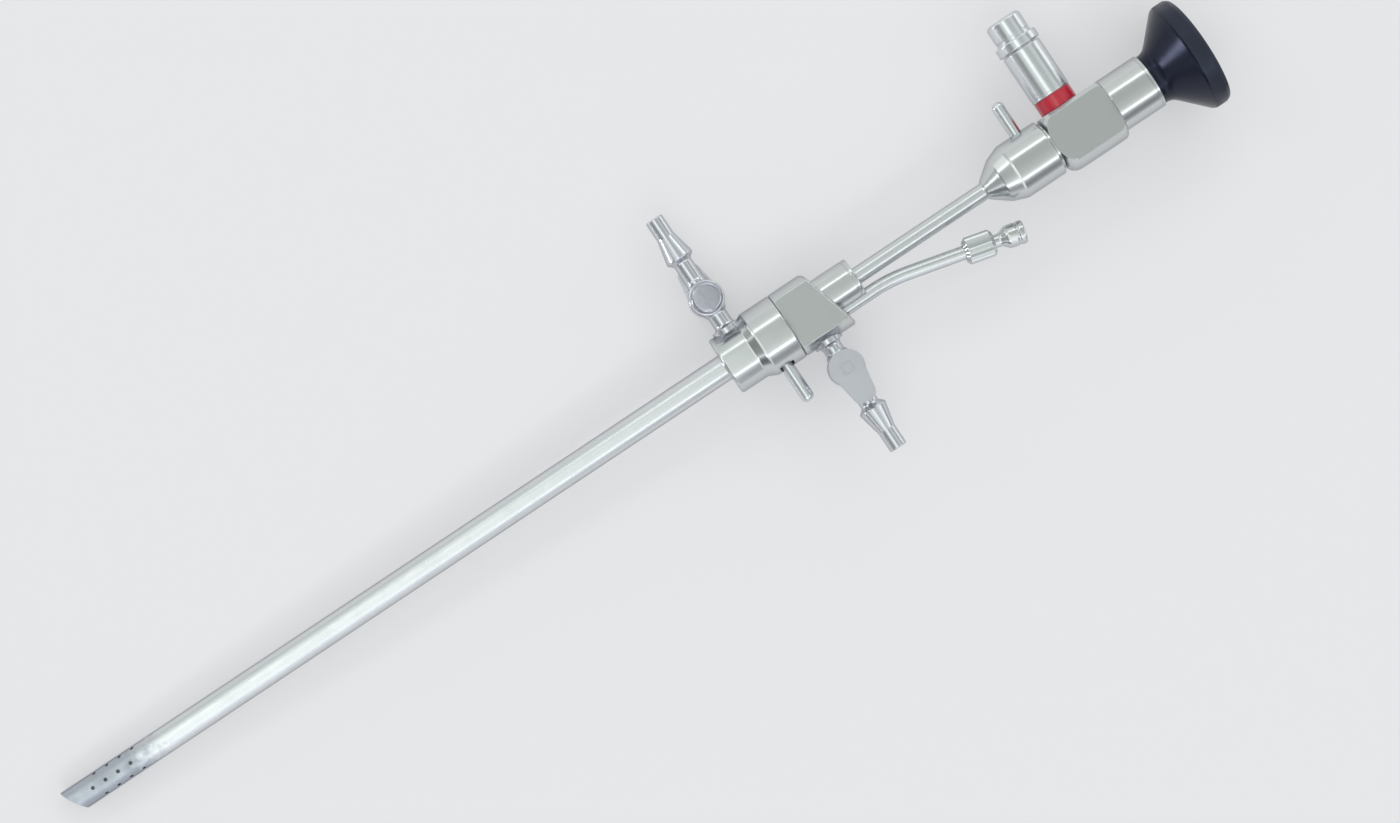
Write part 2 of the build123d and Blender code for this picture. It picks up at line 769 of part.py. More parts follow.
def lens_spacers():
    """Thin tubes that keep the rods apart."""
    spacers = []
    for index in range(rod_lens_count):
        start = prism_rear() + index * rod_lens_pitch()
        outer = optic_bore() - 2 * rod_play
        spacer = rod_x(start, start + rod_lens_gap, outer, optic_y)
        spacers.append(spacer - rod_x(start, start + rod_lens_gap, outer - 2 * spacer_wall, optic_y))
    return Compound(spacers)


def light_fibres():
    """Crescent of glass fibres between the optic tube and the shaft."""
    rear = body_x + shaft_depth
    fibres = rod_x(0, rear, shaft_bore - 2 * rod_play, telescope_y)
    fibres -= rod_x(0, rear, optic_diameter + rod_play, optic_y)
    return behind_tip(fibres, telescope_setback)


def fibre_bundle():
    """The fibres' bundle, from the end of the shaft up into the light post."""
    start_x = body_x + shaft_depth
    bend_x = start_x + bundle_lead
    radius = post_x - bend_x
    level = telescope_y + bundle_offset
    line = Line((start_x, level), (bend_x, level))
    line += TangentArc((bend_x, level), (post_x, level + radius), tangent=(1, 0))
    line += Line((post_x, level + radius), (post_x, light_face_base()))
    start = Plane(origin=line @ 0, z_dir=line % 0)
    return sweep(start * Circle(bundle_diameter / 2), line)


def body_top():
    """Y of the flat that the light post stands on."""
    return telescope_y + body_top_height


def post_top():
    """Y of the light post's shoulder, under the adapter."""
    return body_top() + ring_thickness + post_length


def light_face_base():
    """Y of the inner end of the light post's glass."""
    return post_top() + stud_length


def telescope_body():
    """Turned body with three flats, hollow inside, and the spigot that locks in the coupling."""
    outline = make_face(Polyline((body_x, 0), (body_x, body_diameter / 2),
                                 (body_rear_x, body_diameter / 2), (body_rear_x, 0), close=True))
    outline = softened(outline, (body_x, body_diameter / 2, 0), body_front_edge)
    outline = softened(outline, (body_rear_x, body_diameter / 2, 0), body_rear_edge)
    body = revolve(outline, Axis.X)
    body &= Pos(body_x, body_top_height, 0) * Box(body_length, body_top_height + body_diameter / 2,
                                                  2 * body_flat_height, align=(low_end, Align.MAX, middle))
    body += lock_spigot(coupling_pin_x, body_x, coupling_spigot_diameter, coupling_spigot_nose_length,
                        coupling_ring_width, -1)
    front = spigot_front(coupling_pin_x, coupling_spigot_nose_length)
    cavity_x = body_x + body_wall
    spigot_x = body_rear_x - ocular_spigot_depth
    body -= rod_x(front, cavity_x, telescope_diameter)
    body -= rod_x(cavity_x, spigot_x, body_cavity_diameter)
    body -= rod_x(spigot_x, body_rear_x, ocular_spigot_diameter)
    body -= rod_y(body_top_height - post_seat_depth, body_diameter, post_seat_diameter, post_x)
    body -= rod_y(0, body_diameter, post_bore, post_x)
    body -= seal_groove(front + seal_inset, nose_bore(coupling_spigot_diameter))
    return Pos(0, telescope_y, 0) * body


def light_post():
    """Turned post on the body's flat, with a threaded stud on top."""
    seat = body_top() - post_seat_depth
    shoulder = body_top() + ring_thickness
    top = post_top()
    post = turned_y((seat, 0), (seat, post_seat_diameter), (body_top(), post_seat_diameter),
                    (body_top(), post_neck_diameter), (shoulder, post_neck_diameter),
                    (shoulder, post_diameter), (top - post_edge, post_diameter),
                    (top, post_diameter - 2 * post_edge), (top, stud_diameter),
                    (top + stud_length, stud_diameter), (top + stud_length, 0))
    return Pos(post_x, 0, 0) * (post - rod_y(seat, top + stud_length, post_bore))


def colour_ring():
    """Ring round the foot of the light post, whose colour tells the angle of view."""
    top = body_top() + ring_thickness
    return rod_y(body_top(), top, ring_diameter, post_x) - rod_y(body_top(), top, post_neck_diameter, post_x)


def light_adapter():
    """Screwed adapter for the light cable, with a collar, a groove and a bevelled end."""
    start = post_top() + adapter_gap
    collar_top = start + adapter_collar_length
    end = collar_top + adapter_length
    groove_start = collar_top + adapter_groove_offset
    groove_end = groove_start + adapter_groove
    groove_diameter = adapter_diameter - adapter_groove
    adapter = turned_y((start, 0), (start, adapter_collar_diameter),
                       (collar_top, adapter_collar_diameter), (collar_top, adapter_diameter),
                       (groove_start, adapter_diameter), (groove_start, groove_diameter),
                       (groove_end, groove_diameter), (groove_end, adapter_diameter),
                       (end - adapter_chamfer, adapter_diameter),
                       (end, adapter_diameter - 2 * adapter_chamfer), (end, 0))
    adapter -= rod_y(start, light_face_base(), stud_diameter)
    return Pos(post_x, 0, 0) * (adapter - rod_y(start, end, light_face_diameter))


def light_face():
    """Glass at the end of the light post, where the light goes in."""
    return rod_y(light_face_base(), light_face_base() + light_face_length, light_face_diameter, post_x)


def ocular_housing():
    """Turned housing of the eyepiece lens, with a spigot in front and a stub for the eyecup."""
    front = body_rear_x - ocular_spigot_depth
    end = eyecup_x + ocular_stub_length
    bore_x = body_rear_x + ocular_front_depth
    housing = turned_x((front, 0), (front, ocular_spigot_diameter), (body_rear_x, ocular_spigot_diameter),
                       (body_rear_x, ocular_diameter), (eyecup_x, ocular_diameter),
                       (eyecup_x, ocular_stub_diameter), (end, ocular_stub_diameter), (end, 0))
    housing -= rod_x(front, bore_x, ocular_front_bore)
    housing -= rod_x(bore_x, end, ocular_bore)
    return Pos(0, telescope_y, 0) * housing


def optic_holder():
    """Disc that holds the rear end of the optic tube in the eyepiece housing."""
    start = body_rear_x - holder_thickness / 2
    disc = rod_x(start, start + holder_thickness, ocular_front_bore, telescope_y)
    return disc - rod_x(start, start + holder_thickness, optic_diameter, optic_y)


def field_stop():
    """Thin ring that bounds the round picture."""
    start = body_rear_x + ocular_front_depth
    stop = rod_x(start, start + stop_thickness, ocular_bore, telescope_y)
    return stop - rod_x(start, start + stop_thickness, stop_hole, telescope_y)


def ocular_lens():
    """Eyepiece lens, flat in front and crowned behind."""
    start = body_rear_x + lens_inset
    edge = start + lens_thickness - lens_crown
    radius = ocular_bore / 2
    flat = Polyline((start + lens_thickness, 0), (start, 0), (start, radius), (edge, radius))
    crown = RadiusArc((edge, radius), (start + lens_thickness, 0),
                      (radius ** 2 + lens_crown ** 2) / (2 * lens_crown))
    return Pos(0, telescope_y, 0) * revolve(make_face(flat + crown), Axis.X)


def dish_x():
    """X of the eyecup's inner floor."""
    return eyecup_x + ocular_stub_length + eyecup_floor


def eyecup():
    """Moulded funnel with a straight rim and a conical dish, round the eyepiece window."""
    neck_x = eyecup_x + eyecup_neck_length
    lip = eyecup_diameter / 2 - eyecup_lip
    outline = make_face(Polyline((eyecup_x, 0), (eyecup_x, eyecup_neck_diameter / 2),
                                 (neck_x, eyecup_neck_diameter / 2), (rim_x, eyecup_diameter / 2),
                                 (eyecup_rear_x, eyecup_diameter / 2), (eyecup_rear_x, lip),
                                 (rim_x, lip - eyecup_dish_flare), (dish_x(), eyecup_dish_diameter / 2),
                                 (dish_x(), 0), close=True))
    outline = softened(outline, (neck_x, eyecup_neck_diameter / 2, 0), 2 * eyecup_edge)
    outline = softened(outline, (rim_x, eyecup_diameter / 2, 0), eyecup_edge)
    outline = softened(outline, (eyecup_rear_x, eyecup_diameter / 2, 0), eyecup_edge)
    cup = revolve(outline, Axis.X)
    cup -= rod_x(eyecup_x, eyecup_x + ocular_stub_length, ocular_stub_diameter)
    cup -= rod_x(eyecup_x, dish_x(), eyecup_hole)
    cup -= rod_x(dish_x() - eyepiece_window_thickness, dish_x(), window_diameter)
    return Pos(0, telescope_y, 0) * cup


def eyepiece_window():
    """Flat glass in the floor of the eyecup."""
    return rod_x(dish_x() - eyepiece_window_thickness, dish_x(), window_diameter, telescope_y)


def all_pieces():
    """Every piece by its name, in the straight frame."""
    hub_nose_x = spigot_front(hub_pin_x, hub_spigot_nose_length)
    coupling_nose_x = spigot_front(coupling_pin_x, coupling_spigot_nose_length)
    on_telescope = Pos(0, telescope_y, 0)
    pieces = {
        "outer_sheath_tube": outer_sheath_tube(),
        "outer_sheath_hub": outer_sheath_hub(),
        "inner_sheath_tube": inner_sheath_tube(),
        "bridge_block": bridge_block(),
        "hub_seal": seal(hub_nose_x + seal_inset, nose_bore(hub_spigot_diameter)),
        "guide_neck": guide_neck(),
        "guide_tube": guide_tube(),
        "channel_tube": channel_tube(),
        "channel_nut": channel_nut(),
        "channel_port": channel_port(),
        "rear_coupling": rear_coupling(),
        "coupling_seal": seal(coupling_nose_x + seal_inset, nose_bore(coupling_spigot_diameter),
                              telescope_y),
        "telescope_shaft": telescope_shaft(),
        "optic_tube": optic_tube(),
        "tip_window": tip_window(),
        "view_prism": view_prism(),
        "rod_lenses": rod_lenses(),
        "lens_spacers": lens_spacers(),
        "light_fibres": light_fibres(),
        "fibre_bundle": fibre_bundle(),
        "telescope_body": telescope_body(),
        "light_post": light_post(),
        "colour_ring": colour_ring(),
        "light_adapter": light_adapter(),
        "light_face": light_face(),
        "ocular_housing": ocular_housing(),
        "optic_holder": optic_holder(),
        "field_stop": field_stop(),
        "ocular_lens": ocular_lens(),
        "eyecup": eyecup(),
        "eyepiece_window": eyepiece_window(),
    }
    pieces.update(tap_pieces("outflow", outflow_seat, Pos(outflow_x, tap_reach, 0) * Rot(0, 180, 0)))
    pieces.update(tap_pieces("inflow", inflow_seat, Pos(inflow_x, -tap_reach, 0) * Rot(0, 0, 180)))
    hub_ring = lock_ring(hub_pin_x, hub_ring_width, hub_spigot_diameter)
    hub_pin = lock_pin(hub_pin_x, hub_spigot_diameter, hub_pin_diameter, hub_pin_reach)
    pieces["sheath_lock_ring"] = Rot(180, 0, 0) * hub_ring
    pieces["sheath_lock_pin"] = Rot(180, 0, 0) * hub_pin
    coupling_ring = lock_ring(coupling_pin_x, coupling_ring_width, coupling_spigot_diameter)
    coupling_pin = lock_pin(coupling_pin_x, coupling_spigot_diameter, coupling_pin_diameter,
                            coupling_pin_reach)
    pieces["telescope_lock_ring"] = on_telescope * coupling_ring
    pieces["telescope_lock_pin"] = on_telescope * coupling_pin
    return pieces


def lying_turn():
    """The turn that lays the straight model down: on the sheath's tip, the rim of the eyecup
    and the end of the lower tap's lever. Each of the first two touches with a round section."""
    tip_x = sheath_diameter / 2 * math.tan(math.radians(tip_slant))
    span = rim_x + eyecup_edge - tip_x
    tip_radius = sheath_diameter / 2
    rim_radius = eyecup_diameter / 2
    lever_side = math.atan((lever_root_width - lever_width) / 2 / lever_reach)
    corner_share = 1 / math.cos(lever_side) - math.tan(lever_side)
    lever_x = outflow_x - lever_width / 2 + lever_corner * corner_share
    lever_y = tap_reach + lever_reach - lever_edge
    share = (lever_x - tip_x) / span
    arm = lever_y - telescope_y * share
    drop = tip_radius + (rim_radius - tip_radius) * share
    roll = math.asin(drop / math.hypot(arm, lever_face)) - math.atan2(lever_face, arm)
    pitch = math.atan2(rim_radius - tip_radius + telescope_y * math.sin(roll), span)
    return Rot(0, -math.degrees(pitch), 0) * Rot(-math.degrees(roll), 0, 0)


pieces = {name: lying_turn() * shape for name, shape in all_pieces().items()}
box = Compound([solid for shape in pieces.values() for solid in shape.solids()]).bounding_box()
to_table = Pos(-box.center().X, -box.center().Y, -box.min.Z)
os.makedirs("parts", exist_ok=True)
for name, shape in pieces.items():
    export_step(to_table * shape, f"parts/{name}.step")
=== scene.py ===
import json
import math

import bmesh
import bpy
from mathutils import Matrix, Vector


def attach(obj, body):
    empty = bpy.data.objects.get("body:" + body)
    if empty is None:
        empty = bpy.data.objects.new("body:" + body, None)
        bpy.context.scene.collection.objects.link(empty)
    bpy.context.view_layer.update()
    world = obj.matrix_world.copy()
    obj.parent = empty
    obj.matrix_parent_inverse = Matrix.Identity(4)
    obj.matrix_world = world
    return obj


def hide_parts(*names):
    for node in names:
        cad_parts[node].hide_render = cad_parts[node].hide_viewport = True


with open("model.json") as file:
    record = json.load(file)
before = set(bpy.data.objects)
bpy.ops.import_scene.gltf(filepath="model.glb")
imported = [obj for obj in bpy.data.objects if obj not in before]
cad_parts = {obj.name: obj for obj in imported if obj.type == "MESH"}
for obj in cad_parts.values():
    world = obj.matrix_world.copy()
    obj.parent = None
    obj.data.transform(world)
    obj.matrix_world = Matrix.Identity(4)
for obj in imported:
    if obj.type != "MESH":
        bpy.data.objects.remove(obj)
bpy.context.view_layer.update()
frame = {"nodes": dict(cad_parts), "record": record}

# The drawing's frame: X from the tip to the eyepiece, Y to the light post, Z to the viewer.
# It is found again from two mounts. New pieces are modelled in its millimetres.
MOUNTS = {mount["name"]: mount for mount in frame["record"]["mounts"]}
RIM_MIDDLE = Vector((359.65, 0.85, 0.0))
ALONG = Vector(MOUNTS["eyepiece_rim"]["axis"])
TOWARDS_POST = Vector(MOUNTS["light_inlet"]["axis"])
TOWARDS_VIEWER = ALONG.cross(TOWARDS_POST)
TURN = Matrix((ALONG, TOWARDS_POST, TOWARDS_VIEWER)).transposed().to_4x4()
MILLIMETRE = 0.001
ORIGIN = Vector(MOUNTS["eyepiece_rim"]["pos_m"]) - TURN.to_3x3() @ RIM_MIDDLE * MILLIMETRE
DRAWING = Matrix.Translation(ORIGIN) @ TURN @ Matrix.Scale(MILLIMETRE, 4)

# Places and sizes in the drawing
ON_AXIS = Matrix.Identity(4)
SCOPE_Y = 0.85
ON_SCOPE = Matrix.Translation((0.0, SCOPE_Y, 0.0))
TIP_SLANT = math.radians(30.0)
SHEATH_DIAMETER = 7.3
SHEATH_BORE = 6.8
SHEATH_REAR_X = 214.5
HOLE_ROWS = 6
HOLES_IN_ROW = 4
FIRST_HOLE_X = 8.7
HOLE_PITCH = 4.0
HUB_X = 210.5
BLOCK_X = 230.3
BLOCK_REAR_X = 243.5
BLOCK_SLANT = math.radians(16.0)
BLOCK_DIAMETER = 19.3
BLOCK_FLAT_Z = 6.35
HUB_PIN_X = 224.4
HUB_SLOT_START = -270.0
GUIDE_DIAMETER = 4.6
CHANNEL_BEND = math.radians(13.8)
PORT_LENGTH = 17.0
PORT_SEAT_DEPTH = 2.75
COUPLING_X = 294.1
COUPLING_PIN_X = 309.3
COUPLING_SLOT_START = -120.0
COUPLING_REAR_X = 315.0
LOCK_TURN = 30.0
BODY_X = 315.6
BODY_DIAMETER = 19.0
BODY_FLAT_Z = 6.8
BODY_FLAT_Y = 7.6
POST_X = 323.1
BODY_REAR_X = 334.6
EYECUP_X = 346.9
OUTFLOW_X = 216.4
INFLOW_X = 237.1
TAP_REACH = 18.0
TAP_BORE = 2.8
LEVER_Z = 7.95
LEVER_THICKNESS = 2.2
BLADE_LENGTH = 10.2
CAP_Z = -9.1
SMOOTH_UNDER = math.radians(35.0)


# Modelling by hand tools

def put_down():
    """Ends any editing and leaves nothing selected."""
    if bpy.context.mode != "OBJECT":
        bpy.ops.object.mode_set(mode="OBJECT")
    bpy.ops.object.select_all(action="DESELECT")


def take(piece):
    """Selects one piece and makes it the active one."""
    put_down()
    piece.select_set(True)
    bpy.context.view_layer.objects.active = piece


def edit(piece):
    """Opens a piece for editing with all of it selected."""
    take(piece)
    bpy.ops.object.mode_set(mode="EDIT")
    bpy.ops.mesh.select_mode(type="VERT")
    bpy.ops.mesh.select_all(action="SELECT")


def choose_corners(piece, wanted):
    """Selects the vertices of an open piece that the test wants."""
    bpy.ops.mesh.select_all(action="DESELECT")
    mesh = bmesh.from_edit_mesh(piece.data)
    for corner in mesh.verts:
        corner.select = wanted(corner.co)
    mesh.select_flush(True)
    bmesh.update_edit_mesh(piece.data)


def choose_edges(piece, wanted):
    """Selects the edges of an open piece that the test wants."""
    bpy.ops.mesh.select_mode(type="EDGE")
    bpy.ops.mesh.select_all(action="DESELECT")
    mesh = bmesh.from_edit_mesh(piece.data)
    for edge in mesh.edges:
        edge.select = wanted(edge)
    bmesh.update_edit_mesh(piece.data)


def choose_faces(piece, wanted):
    """Selects the faces of an open piece that the test wants."""
    bpy.ops.mesh.select_mode(type="FACE")
    bpy.ops.mesh.select_all(action="DESELECT")
    mesh = bmesh.from_edit_mesh(piece.data)
    for face in mesh.faces:
        face.select = wanted(face)
    bmesh.update_edit_mesh(piece.data)


def drawn(name, corners, ring):
    """An outline drawn by extruding one vertex, with its corners rounded.
    A corner is (x, diameter), or (x, diameter, radius of its rounding)."""
    put_down()
    bpy.ops.mesh.primitive_plane_add(size=1.0)
    piece = bpy.context.object
    piece.name = name
    edit(piece)
    bpy.ops.mesh.merge(type="CENTER")
    points = [Vector((corner[0], 0.0, corner[1] / 2)) for corner in corners]
    bpy.ops.transform.translate(value=points[0])
    path = points + points[:1] if ring else points
    for here, there in zip(path, path[1:]):
        bpy.ops.mesh.extrude_region_move(TRANSFORM_OT_translate={"value": there - here})
    bpy.ops.mesh.select_all(action="SELECT")
    bpy.ops.mesh.remove_doubles(threshold=0.0005)
    rounded = {}
    for corner, point in zip(corners, points):
        if len(corner) > 2:
            rounded.setdefault(corner[2], []).append(point)
    for radius, places in rounded.items():
        choose_corners(piece, lambda at: any((at - place).length < 0.001 for place in places))
        bpy.ops.mesh.bevel(offset=radius, offset_type="OFFSET", segments=4, affect="VERTICES",
                           clamp_overlap=False)
    return piece


def turned(name, corners, ring=False, steps=96):
    """A piece turned about X from an outline that starts and ends on the axis, or from a ring's."""
    piece = drawn(name, corners, ring)
    bpy.ops.mesh.select_all(action="SELECT")
    bpy.ops.mesh.spin(steps=steps, angle=math.tau, center=(0, 0, 0), axis=(1, 0, 0))
    tidy_up(piece)
    return piece


def tidy_up(piece):
    """Merges doubles and makes the faces of an open piece point outwards."""
    bpy.ops.mesh.select_mode(type="VERT")
    bpy.ops.mesh.select_all(action="SELECT")
    bpy.ops.mesh.remove_doubles(threshold=0.0005)
    bpy.ops.mesh.normals_make_consistent(inside=False)
    put_down()


def lay(piece, place):
    """Applies a place in the drawing to a piece that is still being modelled."""
    take(piece)
    piece.matrix_world = place
    bpy.ops.object.transform_apply(location=True, rotation=True, scale=True)
    return piece


def joined(piece, others):
    """One piece from several shells."""
    put_down()
    for other in others:
        other.select_set(True)
    piece.select_set(True)
    bpy.context.view_layer.objects.active = piece
    bpy.ops.object.join()
    return piece


def combined(piece, tool, operation):
    """Cuts a tool's shape from a piece, or melts the two into one."""
    take(piece)
    bpy.ops.object.modifier_add(type="BOOLEAN")
    modifier = piece.modifiers[-1]
    modifier.operation = operation
    modifier.solver = "EXACT"
    modifier.use_self = True
    modifier.object = tool
    bpy.ops.object.modifier_apply(modifier=modifier.name)
    bpy.data.objects.remove(tool)
    return piece


def trimmed(piece, place, away):
    """Cuts off what lies beyond a plane and closes the cut."""
    edit(piece)
    bpy.ops.mesh.bisect(plane_co=place, plane_no=away, use_fill=True, clear_outer=True)
    tidy_up(piece)
    return piece


def edges_broken(piece, width, wanted=None, segments=2):
    """Rounds the sharp edges of a piece a little, or those that the test wants."""
    edit(piece)
    bpy.ops.mesh.select_mode(type="EDGE")
    bpy.ops.mesh.select_all(action="DESELECT")
    bpy.ops.mesh.edges_select_sharp(sharpness=SMOOTH_UNDER)
    if wanted:
        mesh = bmesh.from_edit_mesh(piece.data)
        for edge in mesh.edges:
            edge.select = edge.select and wanted(edge)
        bmesh.update_edit_mesh(piece.data)
    bpy.ops.mesh.bevel(offset=width, offset_type="OFFSET", segments=segments, affect="EDGES",
                       clamp_overlap=True)
    tidy_up(piece)
    return piece


def box(centre, size):
    """A plain block, to be cut from a piece or melted into it."""
    put_down()
    bpy.ops.mesh.primitive_cube_add(size=1.0, location=centre, scale=size)
    return bpy.context.object


def copied(piece, name):
    """A second piece with its own mesh."""
    take(piece)
    bpy.ops.object.duplicate()
    twin = bpy.context.object
    twin.name = name
    return twin


def finished(piece, place, material, body, slot, *nodes):
    """Smooths a piece, puts it where the drawing has it, gives it its material if it has none, hangs it on
    its body and hides the CAD nodes that it stands for.
    """
    lay(piece, place)
    take(piece)
    bpy.ops.object.shade_smooth_by_angle(angle=SMOOTH_UNDER)
    bpy.ops.object.modifier_add(type="WEIGHTED_NORMAL")
    weighted = piece.modifiers[-1]
    weighted.keep_sharp = True
    bpy.ops.object.modifier_apply(modifier=weighted.name)
    lay(piece, DRAWING)
    if not piece.data.materials:
        piece.data.materials.append(material)
    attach(piece, body)
    if nodes:
        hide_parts(*nodes)
    return piece


def painted(piece, first, second, wanted):
    """Two finishes on one piece: the second where the test wants it."""
    piece.data.materials.append(first)
    piece.data.materials.append(second)
    edit(piece)
    choose_faces(piece, wanted)
    bpy.context.object.active_material_index = 1
    bpy.ops.object.material_slot_assign()
    put_down()


def is_large_flat(face):
    """Whether a face is one of the large flats to the viewer or to the back."""
    return abs(face.normal.z) > 0.999 and face.calc_area() > 20


def along_y(x):
    """Place of a piece that was turned about X, to stand along Y."""
    return Matrix.Translation((x, 0.0, 0.0)) @ Matrix.Rotation(math.pi / 2, 4, "Z")


def along_z(z):
    """Place of a piece that was turned about X, to stand along Z."""
    return Matrix.Translation((0.0, 0.0, z)) @ Matrix.Rotation(-math.pi / 2, 4, "Y")


# Finishes

def new_material(name, **settings):
    """A material with one Principled shader and the given plain values on its sockets."""
    material = bpy.data.materials.new(name)
    material.use_nodes = True
    shader = material.node_tree.nodes["Principled BSDF"]
    for socket, value in settings.items():
        shader.inputs[socket.replace("_", " ")].default_value = value
    return material


def new_group(name, inputs, outputs):
    """An empty node group with named inputs and outputs, and its two end nodes."""
    group = bpy.data.node_groups.new(name, "ShaderNodeTree")
    for socket, value in inputs.items():
        kind = "NodeSocketFloat" if isinstance(value, float) else "NodeSocketColor"
        made = group.interface.new_socket(name=socket, in_out="INPUT", socket_type=kind)
        made.default_value = value
    for socket, kind in outputs.items():
        group.interface.new_socket(name=socket, in_out="OUTPUT", socket_type=kind)
    return group, group.nodes.new("NodeGroupInput"), group.nodes.new("NodeGroupOutput")


def math_node(tree, operation, first, second):
    """One Math node whose inputs are sockets or numbers; returns its output."""
    node = tree.nodes.new("ShaderNodeMath")
    node.operation = operation
    for slot, value in enumerate((first, second)):
        if isinstance(value, (int, float)):
            node.inputs[slot].default_value = value
        else:
            tree.links.new(value, node.inputs[slot])
    return node.outputs["Value"]


def share_of(tree, value, low, high):
    """A value that runs from low to high, as a share from 0 to 1."""
    node = tree.nodes.new("ShaderNodeMapRange")
    node.inputs["From Min"].default_value = low
    node.inputs["From Max"].default_value = high
    tree.links.new(value, node.inputs["Value"])
    return node.outputs["Result"]


def mixed(tree, share, first, second, kind="RGBA", blend="MIX"):
    """Two colours or values mixed, or two colours blended in another way."""
    node = tree.nodes.new("ShaderNodeMix")
    node.data_type = kind
    node.blend_type = blend
    if isinstance(share, float):
        node.inputs["Factor"].default_value = share
    else:
        tree.links.new(share, node.inputs["Factor"])
    tree.links.new(first, node.inputs["A"])
    tree.links.new(second, node.inputs["B"])
    return node.outputs["Result"]


def drawing_coordinates(tree, stretch):
    """Object coordinates in the drawing's millimetres, stretched as asked."""
    coordinates = tree.nodes.new("ShaderNodeTexCoord")
    mapping = tree.nodes.new("ShaderNodeMapping")
    mapping.vector_type = "POINT"
    back = DRAWING.inverted()
    mapping.inputs["Location"].default_value = back.to_translation()
    mapping.inputs["Rotation"].default_value = back.to_euler()
    mapping.inputs["Scale"].default_value = back.to_scale()
    tree.links.new(coordinates.outputs["Object"], mapping.inputs["Vector"])
    scaled = tree.nodes.new("ShaderNodeMapping")
    scaled.inputs["Scale"].default_value = stretch
    tree.links.new(mapping.outputs["Vector"], scaled.inputs["Vector"])
    return scaled.outputs["Vector"]


# Depth of the finest relief, in metres
STEEL_RELIEF = 0.00002
SKIN_RELIEF = 0.00003
SKIN_LINES = 0.2
BORDER_WANDER = 22.0


def grain_group(name, stretch):
    """Fine machined lines and soft smudges, for one direction of work."""
    group, given, taken = new_group(
        name, {"Lines": 0.1, "Smudges": 0.1, "Roughness": 0.2, "Colour": (0.7, 0.7, 0.7, 1)},
        {"Colour": "NodeSocketColor", "Roughness": "NodeSocketFloat", "Height": "NodeSocketFloat"})
    lines = group.nodes.new("ShaderNodeTexNoise")
    lines.inputs["Scale"].default_value = 1.0
    lines.inputs["Detail"].default_value = 3.0
    group.links.new(drawing_coordinates(group, stretch), lines.inputs["Vector"])
    smudges = group.nodes.new("ShaderNodeTexNoise")
    smudges.inputs["Scale"].default_value = 0.16
    smudges.inputs["Detail"].default_value = 4.0
    smudges.inputs["Roughness"].default_value = 0.6
    group.links.new(drawing_coordinates(group, (1, 1, 1)), smudges.inputs["Vector"])
    line_part = math_node(group, "MULTIPLY", math_node(group, "SUBTRACT", lines.outputs["Fac"], 0.5),
                          given.outputs["Lines"])
    smudge_part = math_node(group, "MULTIPLY", math_node(group, "SUBTRACT", smudges.outputs["Fac"], 0.5),
                            given.outputs["Smudges"])
    both = math_node(group, "ADD", line_part, smudge_part)
    group.links.new(math_node(group, "ADD", both, given.outputs["Roughness"]), taken.inputs["Roughness"])
    shade = group.nodes.new("ShaderNodeHueSaturation")
    group.links.new(math_node(group, "ADD", math_node(group, "MULTIPLY", both, -0.7), 1.0),
                    shade.inputs["Value"])
    group.links.new(given.outputs["Colour"], shade.inputs["Color"])
    group.links.new(shade.outputs["Color"], taken.inputs["Colour"])
    group.links.new(lines.outputs["Fac"], taken.inputs["Height"])
    return group


TURNED_GRAIN = grain_group("turned_grain", (14.0, 0.35, 0.35))
DRAWN_GRAIN = grain_group("drawn_grain", (0.25, 9.0, 9.0))
POST_GRAIN = grain_group("post_grain", (0.35, 14.0, 0.35))
BLASTED_GRAIN = grain_group("blasted_grain", (9.0, 9.0, 9.0))


def grain_node(tree, grain, lines, smudges, roughness, colour):
    """One use of a grain, with its strengths, its roughness and its colour."""
    finish = tree.nodes.new("ShaderNodeGroup")
    finish.node_tree = grain
    finish.inputs["Lines"].default_value = lines
    finish.inputs["Smudges"].default_value = smudges
    finish.inputs["Roughness"].default_value = roughness
    finish.inputs["Colour"].default_value = (*colour, 1.0)
    return finish


def worked(material, finish, bump, depth):
    """Gives a material the colour, the roughness and the fine relief of a grain."""
    tree = material.node_tree
    shader = tree.nodes["Principled BSDF"]
    tree.links.new(finish.outputs["Colour"], shader.inputs["Base Color"])
    tree.links.new(finish.outputs["Roughness"], shader.inputs["Roughness"])
    relief = tree.nodes.new("ShaderNodeBump")
    relief.inputs["Strength"].default_value = bump
    relief.inputs["Distance"].default_value = depth
    tree.links.new(finish.outputs["Height"], relief.inputs["Height"])
    tree.links.new(relief.outputs["Normal"], shader.inputs["Normal"])


def metal(name, grain, colour, roughness, lines, smudges, bump, edge=0.65):
    """Bare steel with one of the grains. It reflects less where it is seen from the side."""
    material = new_material(name, Metallic=1.0, Specular_Tint=(edge, edge, edge * 1.04, 1.0))
    finish = grain_node(material.node_tree, grain, lines, smudges, roughness, colour)
    worked(material, finish, bump, STEEL_RELIEF)
    return material


turned_steel = metal("turned_steel", TURNED_GRAIN, (0.64, 0.66, 0.66), 0.18, 0.12, 0.1, 0.25)
drawn_steel = metal("drawn_steel", DRAWN_GRAIN, (0.67, 0.69, 0.70), 0.26, 0.12, 0.12, 0.2, edge=0.4)
post_steel = metal("post_steel", POST_GRAIN, (0.73, 0.75, 0.77), 0.24, 0.12, 0.1, 0.25)
tap_steel = metal("tap_steel", BLASTED_GRAIN, (0.65, 0.66, 0.7), 0.2, 0.15, 0.15, 0.25, edge=0.5)
# A darker copy of the tap's steel for the cap nuts: painted shade, standing in for the darker reflection on
# the caps' faces.
cap_steel_painted_shade = metal("cap_steel_painted_shade", BLASTED_GRAIN, (0.46, 0.47, 0.52), 0.24, 0.15, 0.15, 0.25)
blasted_steel = metal("blasted_steel", BLASTED_GRAIN, (0.47, 0.49, 0.485), 0.4, 0.2, 0.08, 0.5)
dull_steel = metal("dull_steel", DRAWN_GRAIN, (0.16, 0.16, 0.17), 0.45, 0.2, 0.1, 0.3)
spring_steel = metal("spring_steel", TURNED_GRAIN, (0.5, 0.5, 0.52), 0.3, 0.1, 0.1, 0.2)


